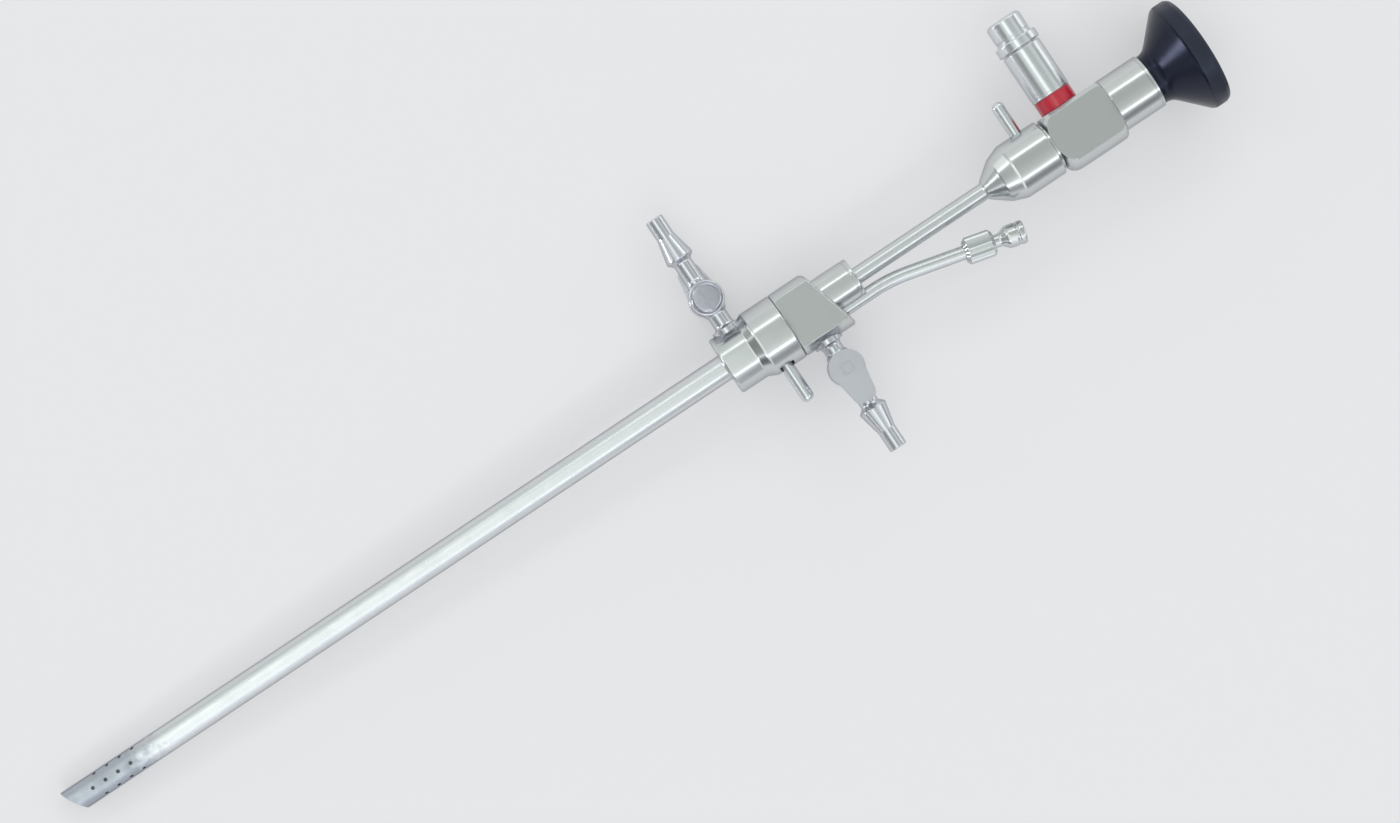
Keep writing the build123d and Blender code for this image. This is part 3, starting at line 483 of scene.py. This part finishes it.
def satin_tip(material, colour, roughness, clear, full):
    """Makes a tube's finish satin and cloudy towards the tip, from X at clear to X at full.
    The border wanders along the tube."""
    tree = material.node_tree
    shader = tree.nodes["Principled BSDF"]
    satin = grain_node(tree, BLASTED_GRAIN, 0.35, 0.6, roughness, colour)
    here = drawing_coordinates(tree, (1, 1, 1))
    place = tree.nodes.new("ShaderNodeSeparateXYZ")
    tree.links.new(here, place.inputs["Vector"])
    clouds = tree.nodes.new("ShaderNodeTexNoise")
    clouds.inputs["Scale"].default_value = 0.6
    clouds.inputs["Detail"].default_value = 4.0
    tree.links.new(here, clouds.inputs["Vector"])
    wander = math_node(tree, "MULTIPLY", math_node(tree, "SUBTRACT", clouds.outputs["Fac"], 0.5),
                       BORDER_WANDER)
    share = share_of(tree, math_node(tree, "ADD", place.outputs["X"], wander), clear, full)
    for kind, socket, output in (("RGBA", "Base Color", "Colour"), ("FLOAT", "Roughness", "Roughness")):
        plain = shader.inputs[socket].links[0].from_socket
        both = mixed(tree, share, plain, satin.outputs[output], kind)
        tree.links.new(both, shader.inputs[socket])


sheath_steel = metal("sheath_steel", DRAWN_GRAIN, (0.72, 0.74, 0.75), 0.26, 0.12, 0.12, 0.2, edge=0.4)
satin_tip(sheath_steel, (0.47, 0.5, 0.55), 0.34, clear=31.0, full=21.0)


def coloured(name, colour, roughness, smudges, bump, coat=0.0, gloss=0.5, tint=(1, 1, 1)):
    """Enamel, plastic, rubber or glass with a fine skin."""
    material = new_material(name, Coat_Weight=coat, Coat_Roughness=0.08, Specular_IOR_Level=gloss,
                            Specular_Tint=(*tint, 1.0))
    finish = grain_node(material.node_tree, BLASTED_GRAIN, SKIN_LINES, smudges, roughness, colour)
    worked(material, finish, bump, SKIN_RELIEF)
    return material


BLUISH = (0.62, 0.68, 1.0)
red_enamel = coloured("red_enamel", (0.52, 0.012, 0.035), 0.28, 0.1, 0.1, coat=0.6)
black_plastic = coloured("black_plastic", (0.005, 0.0065, 0.014), 0.24, 0.12, 0.12, gloss=0.42,
                         tint=BLUISH)
rim_plastic = coloured("rim_plastic", (0.018, 0.021, 0.03), 0.4, 0.9, 1.0, gloss=0.42, tint=BLUISH)
black_rubber = coloured("black_rubber", (0.02, 0.02, 0.02), 0.6, 0.1, 0.3)
blackened_steel = coloured("blackened_steel", (0.02, 0.02, 0.022), 0.5, 0.1, 0.3)
fibre_ends = coloured("fibre_ends", (0.75, 0.72, 0.62), 0.25, 0.2, 0.8, coat=0.8)
clear_glass = coloured("clear_glass", (0.9, 0.96, 0.95), 0.02, 0.02, 0.02)
glass_shader = clear_glass.node_tree.nodes["Principled BSDF"]
glass_shader.inputs["Transmission Weight"].default_value = 1.0
glass_shader.inputs["IOR"].default_value = 1.52

NODE_FINISH = {"steel": turned_steel, "bright_steel": drawn_steel, "red_ring": red_enamel,
               "eyecup_black": black_plastic, "glass": clear_glass, "fibres": fibre_ends,
               "seal_rubber": black_rubber, "spring_steel": spring_steel,
               "blackened_steel": blackened_steel}
for part in frame["record"]["subparts"]:
    frame["nodes"][part["node"]].material_slots[0].material = NODE_FINISH[part["material_slot"]]
frame["nodes"]["inner_sheath_tube"].material_slots[0].material = dull_steel
for tap in ("outflow_tap", "inflow_tap"):
    frame["nodes"][tap + "_plug"].material_slots[0].material = tap_steel
for lock in ("sheath_lock", "telescope_lock"):
    frame["nodes"][lock + "_pin"].material_slots[0].material = post_steel


# The sheath with its slanted tip and side holes

def sheath_tube():
    """Thin polished tube. The side holes have a small countersink."""
    blank_x = -3.0
    tube = turned("sheath_tube", [(blank_x, SHEATH_DIAMETER), (SHEATH_REAR_X, SHEATH_DIAMETER),
                                  (SHEATH_REAR_X, SHEATH_BORE), (blank_x, SHEATH_BORE)],
                  ring=True, steps=128)
    slant = Vector((-math.cos(TIP_SLANT), -math.sin(TIP_SLANT), 0.0))
    corner = Vector((SHEATH_DIAMETER / 2 * math.tan(TIP_SLANT), 0.0, 0.0))
    edit(tube)
    bpy.ops.mesh.bisect(plane_co=corner, plane_no=slant, use_fill=False, clear_outer=True)
    bpy.ops.mesh.select_mode(type="EDGE")
    bpy.ops.mesh.select_all(action="DESELECT")
    bpy.ops.mesh.select_non_manifold()
    bpy.ops.mesh.bridge_edge_loops()
    tidy_up(tube)
    edges_broken(tube, 0.07, lambda edge: abs((edge.verts[0].co - corner).dot(slant)) < 0.01)
    drill = turned("drill", [(2.0, 0.0), (2.0, 1.0), (3.55, 1.0), (3.72, 1.35), (4.4, 1.35), (4.4, 0.0)],
                   steps=20)
    drills = []
    for row in range(HOLE_ROWS):
        turn = Matrix.Rotation(math.radians(360 / HOLE_ROWS * row + 90), 4, "X")
        shift = HOLE_PITCH / 2 if row % 2 else 0.0
        for column in range(HOLES_IN_ROW):
            x = FIRST_HOLE_X + HOLE_PITCH * column + shift
            drills.append(lay(copied(drill, "drill_copy"), turn @ along_y(x)))
    bpy.data.objects.remove(drill)
    drills = joined(drills[0], drills[1:])
    combined(tube, drills, "DIFFERENCE")
    finished(tube, ON_AXIS, sheath_steel, "instrument", "bright_steel", "outer_sheath_tube")


def pin_slot(x, width, inner, outer, start_angle):
    """Cutter for the slot that a lock's pin travels in."""
    cutter = drawn("slot", [(x - width / 2, inner), (x + width / 2, inner), (x + width / 2, outer),
                            (x - width / 2, outer)], ring=True)
    bpy.ops.mesh.select_all(action="SELECT")
    bpy.ops.mesh.edge_face_add()
    bpy.ops.mesh.spin(steps=10, angle=math.radians(LOCK_TURN), center=(0, 0, 0), axis=(1, 0, 0))
    tidy_up(cutter)
    ends = []
    for angle in (0.0, LOCK_TURN):
        put_down()
        bpy.ops.mesh.primitive_cylinder_add(vertices=48, radius=width / 2, depth=(outer - inner) / 2)
        end = bpy.context.object
        lay(end, Matrix.Rotation(math.radians(angle), 4, "X")
            @ Matrix.Translation((x, 0.0, (outer + inner) / 4)))
        ends.append(end)
    joined(cutter, ends)
    return lay(cutter, Matrix.Rotation(math.radians(start_angle), 4, "X"))


def sheath_hub():
    """Turned hub with its shoulder, the tap's seat and the slot of the lock's pin."""
    hub = turned("sheath_hub", [(HUB_X, SHEATH_DIAMETER), (HUB_X, 16.7, 0.7), (HUB_X + 8.3, 16.8, 0.3),
                                (HUB_X + 10.7, BLOCK_DIAMETER, 0.4), (BLOCK_X, BLOCK_DIAMETER, 0.4),
                                (BLOCK_X, 15.2), (221.7, 15.2), (221.7, 10.3), (219.3, 10.3),
                                (219.3, 9.0), (SHEATH_REAR_X, 9.0), (SHEATH_REAR_X, SHEATH_DIAMETER)],
                 ring=True)
    seat = turned("seat", [(6.3, 0.0), (6.3, 8.2), (12.0, 8.2), (12.0, 0.0)])
    combined(hub, lay(seat, along_y(OUTFLOW_X)), "DIFFERENCE")
    combined(hub, pin_slot(HUB_PIN_X, 4.3, 13.0, 22.0, HUB_SLOT_START), "DIFFERENCE")
    finished(hub, ON_AXIS, turned_steel, "instrument", "steel", "outer_sheath_hub")


def solder_ring(name, x, diameter, place):
    """A fine ring of hard solder where a tube enters a turned piece."""
    ring = turned(name, [(x - 0.35, diameter), (x, diameter + 0.7, 0.2), (x + 0.1, diameter + 0.7),
                         (x + 0.1, diameter)], ring=True, steps=64)
    finished(ring, place, turned_steel, "instrument", "steel")


def bridge_block():
    """Block with two blasted flats and a slanted, chamfered rear face."""
    blank_rear_x = BLOCK_REAR_X + 5.0
    block = turned("bridge_block_solid", [(BLOCK_X, 0.0), (BLOCK_X, BLOCK_DIAMETER),
                                          (blank_rear_x, BLOCK_DIAMETER), (blank_rear_x, 0.0)], steps=128)
    for side in (1.0, -1.0):
        trimmed(block, (0.0, 0.0, side * BLOCK_FLAT_Z), (0.0, 0.0, side))
    rear = Vector((math.cos(BLOCK_SLANT), math.sin(BLOCK_SLANT), 0.0))
    rear_at = Vector((BLOCK_REAR_X, 0.0, 0.0))
    trimmed(block, rear_at, rear)
    edges_broken(block, 0.8, lambda edge: all(abs((v.co - rear_at).dot(rear)) < 0.01 for v in edge.verts),
                 segments=1)
    edges_broken(block, 0.4, lambda edge: all(abs(v.co.x - BLOCK_X) < 0.01 for v in edge.verts))
    edges_broken(block, 0.12)
    painted(block, turned_steel, blasted_steel, is_large_flat)
    spigot = turned("spigot", [(217.3, 5.9), (217.3, 10.2, 0.3), (222.3, 10.2), (222.3, 12.0),
                               (223.4, 12.0), (223.4, 10.2), (225.4, 10.2), (225.4, 12.0), (227.1, 12.0),
                               (227.1, 15.0), (BLOCK_X, 15.0), (BLOCK_X, 5.9)], ring=True)
    spigot.data.materials.append(turned_steel)
    joined(block, [spigot])
    finished(block, ON_AXIS, turned_steel, "instrument", "steel", "bridge_block")


def guide_neck():
    """Short neck behind the block, with a fine groove near its end."""
    neck = turned("guide_neck_turned", [
        (240.5, GUIDE_DIAMETER), (240.5, 11.4), (251.2, 11.4, 0.1), (251.35, 11.1), (251.6, 11.1),
        (251.75, 11.4, 0.1), (252.7, 11.4, 0.5), (252.7, GUIDE_DIAMETER, 0.15)], ring=True)
    finished(neck, ON_SCOPE, turned_steel, "instrument", "steel", "guide_neck")


def channel_end():
    """Place of the front of the union nut, whose X runs along the bent part of the channel."""
    port = MOUNTS["instrument_port"]
    middle = DRAWING.inverted() @ Vector(port["pos_m"])
    way = Vector((math.cos(CHANNEL_BEND), -math.sin(CHANNEL_BEND), 0.0))
    start = middle - way * (PORT_LENGTH - PORT_SEAT_DEPTH)
    return Matrix.Translation(start) @ Matrix.Rotation(-CHANNEL_BEND, 4, "Z")


def fluted(name, start, end, diameter, bore, flutes, depth, edge):
    """A grip ring with straight flutes and chamfered ends."""
    put_down()
    sides = flutes * 4
    bpy.ops.mesh.primitive_circle_add(vertices=sides, radius=diameter / 2)
    grip = bpy.context.object
    grip.name = name
    lay(grip, Matrix.Translation((start, 0, 0)) @ Matrix.Rotation(math.pi / 2, 4, "Y"))
    edit(grip)
    step = math.tau / flutes
    choose_corners(grip, lambda at: (math.atan2(at.y, at.z) + step / 8) % step < step / 4)
    narrow = 1 - 2 * depth / diameter
    bpy.ops.transform.resize(value=(1, narrow, narrow), center_override=(start, 0, 0))
    bpy.ops.mesh.select_all(action="SELECT")
    small = 1 - 2 * edge / diameter
    bpy.ops.transform.resize(value=(1, small, small), center_override=(start, 0, 0))
    moves = [(edge, 1 / small), (end - start - 2 * edge, 1.0), (edge, small), (0.0, bore / diameter / small),
             (start - end, 1.0)]
    for step_x, growth in moves:
        bpy.ops.mesh.extrude_region_move(TRANSFORM_OT_translate={"value": (step_x, 0, 0)})
        bpy.ops.transform.resize(value=(1, growth, growth), center_override=(start, 0, 0))
    bpy.ops.mesh.select_non_manifold()
    bpy.ops.mesh.bridge_edge_loops()
    tidy_up(grip)
    return grip


def instrument_port():
    """Union nut with flutes, and the port with its flared head and conical mouth."""
    end = channel_end()
    nut = fluted("channel_nut_fluted", 0.0, 8.4, 7.5, 3.85, 14, 0.28, 0.9)
    finished(nut, end, turned_steel, "instrument", "steel", "channel_nut")
    port = turned("instrument_port_turned", [(1.95, 2.4), (1.95, 3.6), (10.2, 3.6, 0.5), (12.0, 6.2, 0.5),
                                             (14.6, 6.4, 0.2), (14.8, 6.0, 0.1), (15.2, 6.0, 0.1),
                                             (15.4, 6.4, 0.2), (PORT_LENGTH, 6.4, 0.55),
                                             (PORT_LENGTH, 4.3, 0.2), (11.5, 3.9), (11.5, 2.4)], ring=True)
    finished(port, end, turned_steel, "instrument", "steel", "channel_port")


def rear_coupling():
    """Turned coupling with its two cones and the slot of the lock's pin."""
    coupling = turned("rear_coupling_turned", [
        (COUPLING_X, GUIDE_DIAMETER), (COUPLING_X, 5.6, 0.3), (298.9, 13.0, 0.25), (303.0, 16.2, 0.5),
        (COUPLING_REAR_X, 16.2, 0.5), (COUPLING_REAR_X, 13.3, 0.1), (305.3, 13.3), (305.3, 8.4),
        (301.5, 8.4), (301.5, GUIDE_DIAMETER)], ring=True)
    combined(coupling, pin_slot(COUPLING_PIN_X, 4.1, 11.0, 19.0, COUPLING_SLOT_START), "DIFFERENCE")
    finished(coupling, ON_SCOPE, turned_steel, "instrument", "steel", "rear_coupling")


# The telescope

def scope_body():
    """Body with three flats, of which the two large ones are blasted, with rounded ends, and the spigot in
    front of it.
    """
    body = turned("scope_body", [(BODY_X, 0.0), (BODY_X, BODY_DIAMETER, 3.4),
                                 (BODY_REAR_X, BODY_DIAMETER, 1.6), (BODY_REAR_X, 0.0)], steps=128)
    for side in (1.0, -1.0):
        trimmed(body, (0.0, 0.0, side * BODY_FLAT_Z), (0.0, 0.0, side))
    trimmed(body, (0.0, BODY_FLAT_Y, 0.0), (0.0, 1.0, 0.0))
    edges_broken(body, 0.15)
    painted(body, turned_steel, blasted_steel, is_large_flat)
    spigot = turned("spigot", [(303.2, 0.0), (303.2, 8.3, 0.3), (307.2, 8.3), (307.2, 10.1), (308.3, 10.1),
                               (308.3, 8.3), (310.3, 8.3), (310.3, 10.1), (313.3, 10.1), (313.3, 13.1),
                               (BODY_X + 0.4, 13.1), (BODY_X + 0.4, 0.0)])
    spigot.data.materials.append(turned_steel)
    joined(body, [spigot])
    finished(body, ON_SCOPE, turned_steel, "instrument", "steel", "telescope_body")


def light_post():
    """Post with its neck in the coloured ring, and the stud of the adapter."""
    post = turned("light_post_turned", [
        (7.05, 3.8), (7.05, 7.0), (8.45, 7.0), (8.45, 9.0), (12.45, 9.0), (12.45, 11.2, 0.2),
        (13.1, 11.2, 0.05), (13.2, 11.0), (13.35, 11.0), (13.45, 11.2, 0.05), (26.95, 11.2, 0.4),
        (26.95, 8.0), (32.95, 8.0), (32.95, 3.8)], ring=True)
    finished(post, along_y(POST_X), post_steel, "instrument", "steel", "light_post")
    ring = turned("colour_ring_turned", [(8.45, 9.0), (8.45, 10.9, 0.35), (12.45, 10.9, 0.35), (12.45, 9.0)],
                  ring=True)
    finished(ring, along_y(POST_X), red_enamel, "instrument", "red_ring", "colour_ring")
    adapter = turned("light_adapter_turned", [
        (27.35, 8.0), (27.35, 12.2, 0.35), (29.95, 12.2, 0.35), (29.95, 10.1, 0.1), (30.75, 10.1, 0.1),
        (30.85, 9.6), (31.15, 9.6), (31.25, 10.1, 0.1), (35.65, 10.1, 0.15), (36.35, 8.7, 0.15),
        (36.35, 5.6, 0.1), (35.95, 5.0), (32.95, 5.0), (32.95, 8.0)], ring=True)
    finished(adapter, along_y(POST_X), post_steel, "instrument", "steel", "light_adapter")


def eyepiece():
    """Housing of the eyepiece lens, and the moulded eyecup with its dish."""
    housing = turned("ocular_housing_turned", [
        (332.6, 9.4), (332.6, 11.6), (BODY_REAR_X, 11.6), (BODY_REAR_X, 15.6, 0.15), (345.9, 15.6, 0.1),
        (346.0, 15.3), (346.25, 15.3), (346.35, 15.6, 0.1), (EYECUP_X, 15.6, 0.15), (EYECUP_X, 12.6),
        (350.5, 12.6), (350.5, 10.8), (337.6, 10.8), (337.6, 9.4)], ring=True)
    finished(housing, ON_SCOPE, turned_steel, "instrument", "steel", "ocular_housing")
    cup = turned("eyecup_moulded", [
        (EYECUP_X, 12.6), (EYECUP_X, 14.6, 0.2), (349.0, 14.6, 1.2), (350.6, 17.2, 1.5), (357.5, 31.6, 0.8),
        (358.5, 31.8, 0.15), (361.1, 31.8, 0.15), (362.4, 30.6, 0.5), (362.4, 28.9, 0.4),
        (357.5, 27.6, 0.8), (352.7, 15.0, 0.4), (352.7, 10.4), (351.5, 10.4), (351.5, 9.0), (350.5, 9.0),
        (350.5, 12.6)], ring=True, steps=144)
    painted(cup, black_plastic, rim_plastic,
            lambda face: face.calc_center_median().x > 357.6 and face.calc_center_median().yz.length > 15.2)
    finished(cup, ON_SCOPE, black_plastic, "instrument", "eyecup_black", "eyecup")


# The taps. Both are made once, in the tap's own frame: its origin is on the plug's axis,
# Y runs out along the nozzle and Z to the lever.

def tap_body(name, foot, place, node):
    """Barrel, neck, foot and barbed nozzle in one piece."""
    barrel = turned(name, [(-5.4, 5.4), (-5.4, 9.7, 0.5), (5.4, 9.7, 0.5), (5.4, 6.4)], ring=True)
    lay(barrel, along_z(0.0))
    nozzle = turned("nozzle", [(3.7, TAP_BORE), (3.7, 5.6), (5.6, 5.6, 0.5), (6.0, 5.2, 0.3),
                               (11.6, 5.2, 0.4), (12.8, 8.0, 0.3), (19.8, 4.9, 0.4), (20.4, 5.0, 0.2),
                               (25.4, 5.0, 0.35), (25.4, TAP_BORE, 0.2)], ring=True, steps=64)
    combined(barrel, lay(nozzle, along_y(0.0)), "UNION")
    neck = turned("neck", [(foot, TAP_BORE), (foot, 8.2), (foot + 2.7, 8.2, 0.3), (foot + 2.7, 6.2, 0.4),
                           (foot + 3.4, 5.4, 0.3), (-4.9, 5.4, 0.3), (-4.4, 6.4), (-3.7, 6.4),
                           (-3.7, TAP_BORE)], ring=True, steps=64)
    combined(barrel, lay(neck, along_y(0.0)), "UNION")
    finished(barrel, place, tap_steel, "instrument", "steel", node)


def tap_lever():
    """Flat lever with a blade that narrows to its rounded end, and a disc over the plug."""
    put_down()
    bpy.ops.mesh.primitive_cylinder_add(vertices=96, radius=4.95, depth=LEVER_THICKNESS,
                                        location=(0, 0, LEVER_Z))
    lever = bpy.context.object
    lever.name = "lever_blank"
    bpy.ops.object.transform_apply(location=True, rotation=True, scale=True)
    half_way = BLADE_LENGTH / 2
    blade = box((0, half_way, LEVER_Z), (1, BLADE_LENGTH, LEVER_THICKNESS))
    bpy.ops.object.transform_apply(location=True, rotation=True, scale=True)
    edit(blade)
    choose_corners(blade, lambda at: at.y < half_way)
    bpy.ops.transform.resize(value=(9.2, 1, 1), center_override=(0, 0, 0))
    choose_corners(blade, lambda at: at.y > half_way)
    bpy.ops.transform.resize(value=(5.8, 1, 1), center_override=(0, 0, 0))
    choose_edges(blade, lambda edge: all(v.co.y > half_way for v in edge.verts)
                 and abs(edge.verts[0].co.z - edge.verts[1].co.z) > 0.5)
    bpy.ops.mesh.bevel(offset=1.4, segments=8, affect="EDGES")
    put_down()
    combined(lever, blade, "UNION")
    edges_broken(lever, 0.4, lambda edge: all(v.co.z > LEVER_Z + 1.0 for v in edge.verts), segments=4)
    edges_broken(lever, 0.12, lambda edge: all(v.co.z < LEVER_Z - 1.0 for v in edge.verts))
    square = box((0, 0, LEVER_Z), (2.9, 2.9, 6.0))
    return combined(lever, square, "DIFFERENCE")


def tap_cap(name):
    """Round cap nut with a rounded rim and a slot for its driver."""
    cap = turned(name, [(0.0, 0.0), (0.0, 7.3, 0.5), (0.75, 8.7, 0.25), (2.7, 8.7, 0.15), (2.7, 2.6),
                        (0.9, 2.6), (0.9, 0.0)])
    lay(cap, along_z(CAP_Z))
    combined(cap, box((0, 0, CAP_Z), (1.1, 12.0, 1.1)), "DIFFERENCE")
    return edges_broken(cap, 0.1, lambda edge: all(v.co.z < CAP_Z + 0.8 for v in edge.verts))


def taps():
    """The outflow tap, whose lever is underneath, and the inflow tap, whose lever is on top."""
    outflow = Matrix.Translation((OUTFLOW_X, TAP_REACH, 0.0)) @ Matrix.Rotation(math.pi, 4, "Y")
    inflow = Matrix.Translation((INFLOW_X, -TAP_REACH, 0.0)) @ Matrix.Rotation(math.pi, 4, "Z")
    tap_body("outflow_tap_barrel", 6.3 - TAP_REACH, outflow, "outflow_tap_body")
    tap_body("inflow_tap_barrel", 7.6 - TAP_REACH, inflow, "inflow_tap_body")
    lever = tap_lever()
    cap = tap_cap("cap_blank")
    for tap, place in (("outflow_tap", outflow), ("inflow_tap", inflow)):
        finished(copied(lever, tap + "_blade"), place, tap_steel, tap, "steel", tap + "_lever")
        # The cap nuts take the darker copy of the tap's steel, whose darkness is painted shade.
        finished(copied(cap, tap + "_nut"), place, cap_steel_painted_shade, tap, "steel", tap + "_cap")
    bpy.data.objects.remove(lever)
    bpy.data.objects.remove(cap)


sheath_tube()
sheath_hub()
solder_ring("sheath_joint", HUB_X, SHEATH_DIAMETER, ON_AXIS)
bridge_block()
guide_neck()
solder_ring("guide_joint", COUPLING_X, GUIDE_DIAMETER, ON_SCOPE)
instrument_port()
rear_coupling()
scope_body()
light_post()
eyepiece()
taps()

# Camera at the photograph's angle: it looks down on the drawing's plane
PICTURE_TURN = math.radians(33.65)
PICTURE_CENTRE = Vector((198.3, -6.1, 0.0))
PICTURE_WIDTH = 373.3
CAMERA_HEIGHT = 870.0
camera_data = bpy.data.cameras.new("camera")
camera_data.sensor_width = 36.0
camera_data.lens = camera_data.sensor_width * CAMERA_HEIGHT / PICTURE_WIDTH
camera_data.clip_start = 0.01
camera = bpy.data.objects.new("camera", camera_data)
bpy.context.scene.collection.objects.link(camera)
seat = DRAWING @ (PICTURE_CENTRE + Vector((0.0, 0.0, CAMERA_HEIGHT)))
camera.matrix_world = Matrix.Translation(seat) @ TURN @ Matrix.Rotation(-PICTURE_TURN, 4, "Z")
bpy.context.scene.camera = camera

# Floor. It glows a little where the camera or a reflection meets it, so that it stays pale.
FLOOR_GLOW = 0.37
put_down()
bpy.ops.mesh.primitive_plane_add(size=8.0, location=(0, 0, 0))
floor = bpy.context.object
floor.name = "floor"
floor_paint = new_material("floor_paint", Base_Color=(0.47, 0.46, 0.47, 1), Roughness=0.7,
                           Emission_Color=(0.98, 0.98, 1.0, 1))
floor_tree = floor_paint.node_tree
seen = floor_tree.nodes.new("ShaderNodeLightPath")
shown = math_node(floor_tree, "MAXIMUM", seen.outputs["Is Camera Ray"], seen.outputs["Is Glossy Ray"])
shown = math_node(floor_tree, "MAXIMUM", shown, seen.outputs["Is Transmission Ray"])
floor_tree.links.new(math_node(floor_tree, "MULTIPLY", shown, FLOOR_GLOW),
                     floor_tree.nodes["Principled BSDF"].inputs["Emission Strength"])
floor.data.materials.append(floor_paint)

# The studio: a pale tent with long soft panels above the instrument
world = bpy.data.worlds.new("studio")
bpy.context.scene.world = world
world.use_nodes = True
studio = world.node_tree
studio.nodes.clear()
sky = studio.nodes.new("ShaderNodeOutputWorld")
tent = studio.nodes.new("ShaderNodeBackground")
studio.links.new(tent.outputs["Background"], sky.inputs["Surface"])
direction = studio.nodes.new("ShaderNodeTexCoord")


def lean(axis):
    """How far a direction leans to an axis, from -1 to 1."""
    node = studio.nodes.new("ShaderNodeVectorMath")
    node.operation = "DOT_PRODUCT"
    node.inputs[1].default_value = axis
    studio.links.new(direction.outputs["Generated"], node.inputs[0])
    return node.outputs["Value"]


def colours_along(share, stops):
    """Colours along a share. A stop is its place from 0 to 1, and its colour."""
    ramp = studio.nodes.new("ShaderNodeValToRGB")
    studio.links.new(share, ramp.inputs["Fac"])
    elements = ramp.color_ramp.elements
    for end, (place, colour) in enumerate((stops[0], stops[-1])):
        elements[end].position = place
        elements[end].color = (*colour, 1.0)
    for place, colour in stops[1:-1]:
        elements.new(place).color = (*colour, 1.0)
    return ramp.outputs["Color"]


def panels(value, limit, stops):
    """Colours of the tent along a value that runs from -limit to limit."""
    share = share_of(studio, value, -limit, limit)
    return colours_along(share, [(0.5 + place / limit / 2, colour) for place, colour in stops])


def low_panel(towards, inner, outer, colour):
    """Light of a small panel near the floor, by its direction in the drawing."""
    way = TURN.to_3x3() @ Vector(towards).normalized()
    share = share_of(studio, lean(way), math.cos(math.radians(outer)), math.cos(math.radians(inner)))
    return colours_along(share, [(0.0, (0, 0, 0)), (1.0, colour)])


def tinted(stops):
    """Levels of grey, cool where the place is under -50 and a little green elsewhere."""
    colours = []
    for place, level in stops:
        red, green, blue = (0.98, 0.99, 1.05) if place < -50 else (0.985, 1.01, 1.0)
        colours.append((place, (level * red, level * green, level * blue)))
    return colours


# Around the instrument's axis in degrees, 0 at the viewer and 90 at the post
turn_about = math_node(studio, "ARCTAN2", lean(TOWARDS_POST), lean(TOWARDS_VIEWER))
turn_about = math_node(studio, "MULTIPLY", turn_about, 180 / math.pi)
scope_side = panels(turn_about, 180.0, tinted([
    (-180, 0.7), (-100, 0.7), (-89, 0.5), (-80, 0.3), (-68, 0.3), (-58, 0.62), (-53, 0.8), (-51.5, 2.4),
    (-45, 2.4), (-43.5, 0.95), (-34, 0.8), (-25, 0.67), (-8, 0.62), (0, 0.57), (28, 0.55), (39, 0.7),
    (40.5, 2.3), (46.5, 2.3), (48, 0.95), (60, 0.85), (78, 0.8), (89, 0.98), (100, 0.7), (180, 0.7)]))
tip_side = panels(turn_about, 180.0, tinted([
    (-180, 0.7), (-100, 0.7), (-89, 0.95), (-60, 1.24), (-30, 1.36), (0, 1.46), (18, 1.56), (28, 1.3),
    (38, 0.95), (50, 0.72), (78, 0.66), (92, 0.75), (110, 0.7), (180, 0.7)]))
# Along the axis, -1 at the tip and 1 at the eyepiece
tip_share = panels(lean(ALONG), 1.0, [
    (-0.36, (0, 0, 0)), (-0.29, (1, 1, 1)), (-0.04, (1, 1, 1)), (-0.015, (0, 0, 0))])
across = panels(lean(ALONG), 1.0, tinted([
    (-1.0, 0.75), (-0.88, 0.75), (-0.8, 0.5), (-0.62, 0.6), (-0.56, 1.4), (-0.42, 1.4), (-0.36, 0.95),
    (-0.28, 1.0), (0.4, 1.0), (0.5, 0.95), (0.58, 1.32), (0.8, 1.32), (0.86, 0.6), (0.93, 0.6),
    (0.97, 1.8), (1.0, 1.8)]))
above = mixed(studio, 1.0, mixed(studio, tip_share, scope_side, tip_side), across, blend="MULTIPLY")
beside = low_panel(towards=(-0.95, 0.26, 0.12), inner=3, outer=7, colour=(12, 12, 13))
whole_tent = mixed(studio, 1.0, above, beside, blend="ADD")
# The camera sees a plain backdrop where the floor ends
backdrop = studio.nodes.new("ShaderNodeRGB")
backdrop.outputs["Color"].default_value = (0.79, 0.8, 0.82, 1)
camera_ray = studio.nodes.new("ShaderNodeLightPath").outputs["Is Camera Ray"]
studio.links.new(mixed(studio, camera_ray, whole_tent, backdrop.outputs["Color"]), tent.inputs["Color"])

bpy.context.scene.view_settings.view_transform = "Standard"
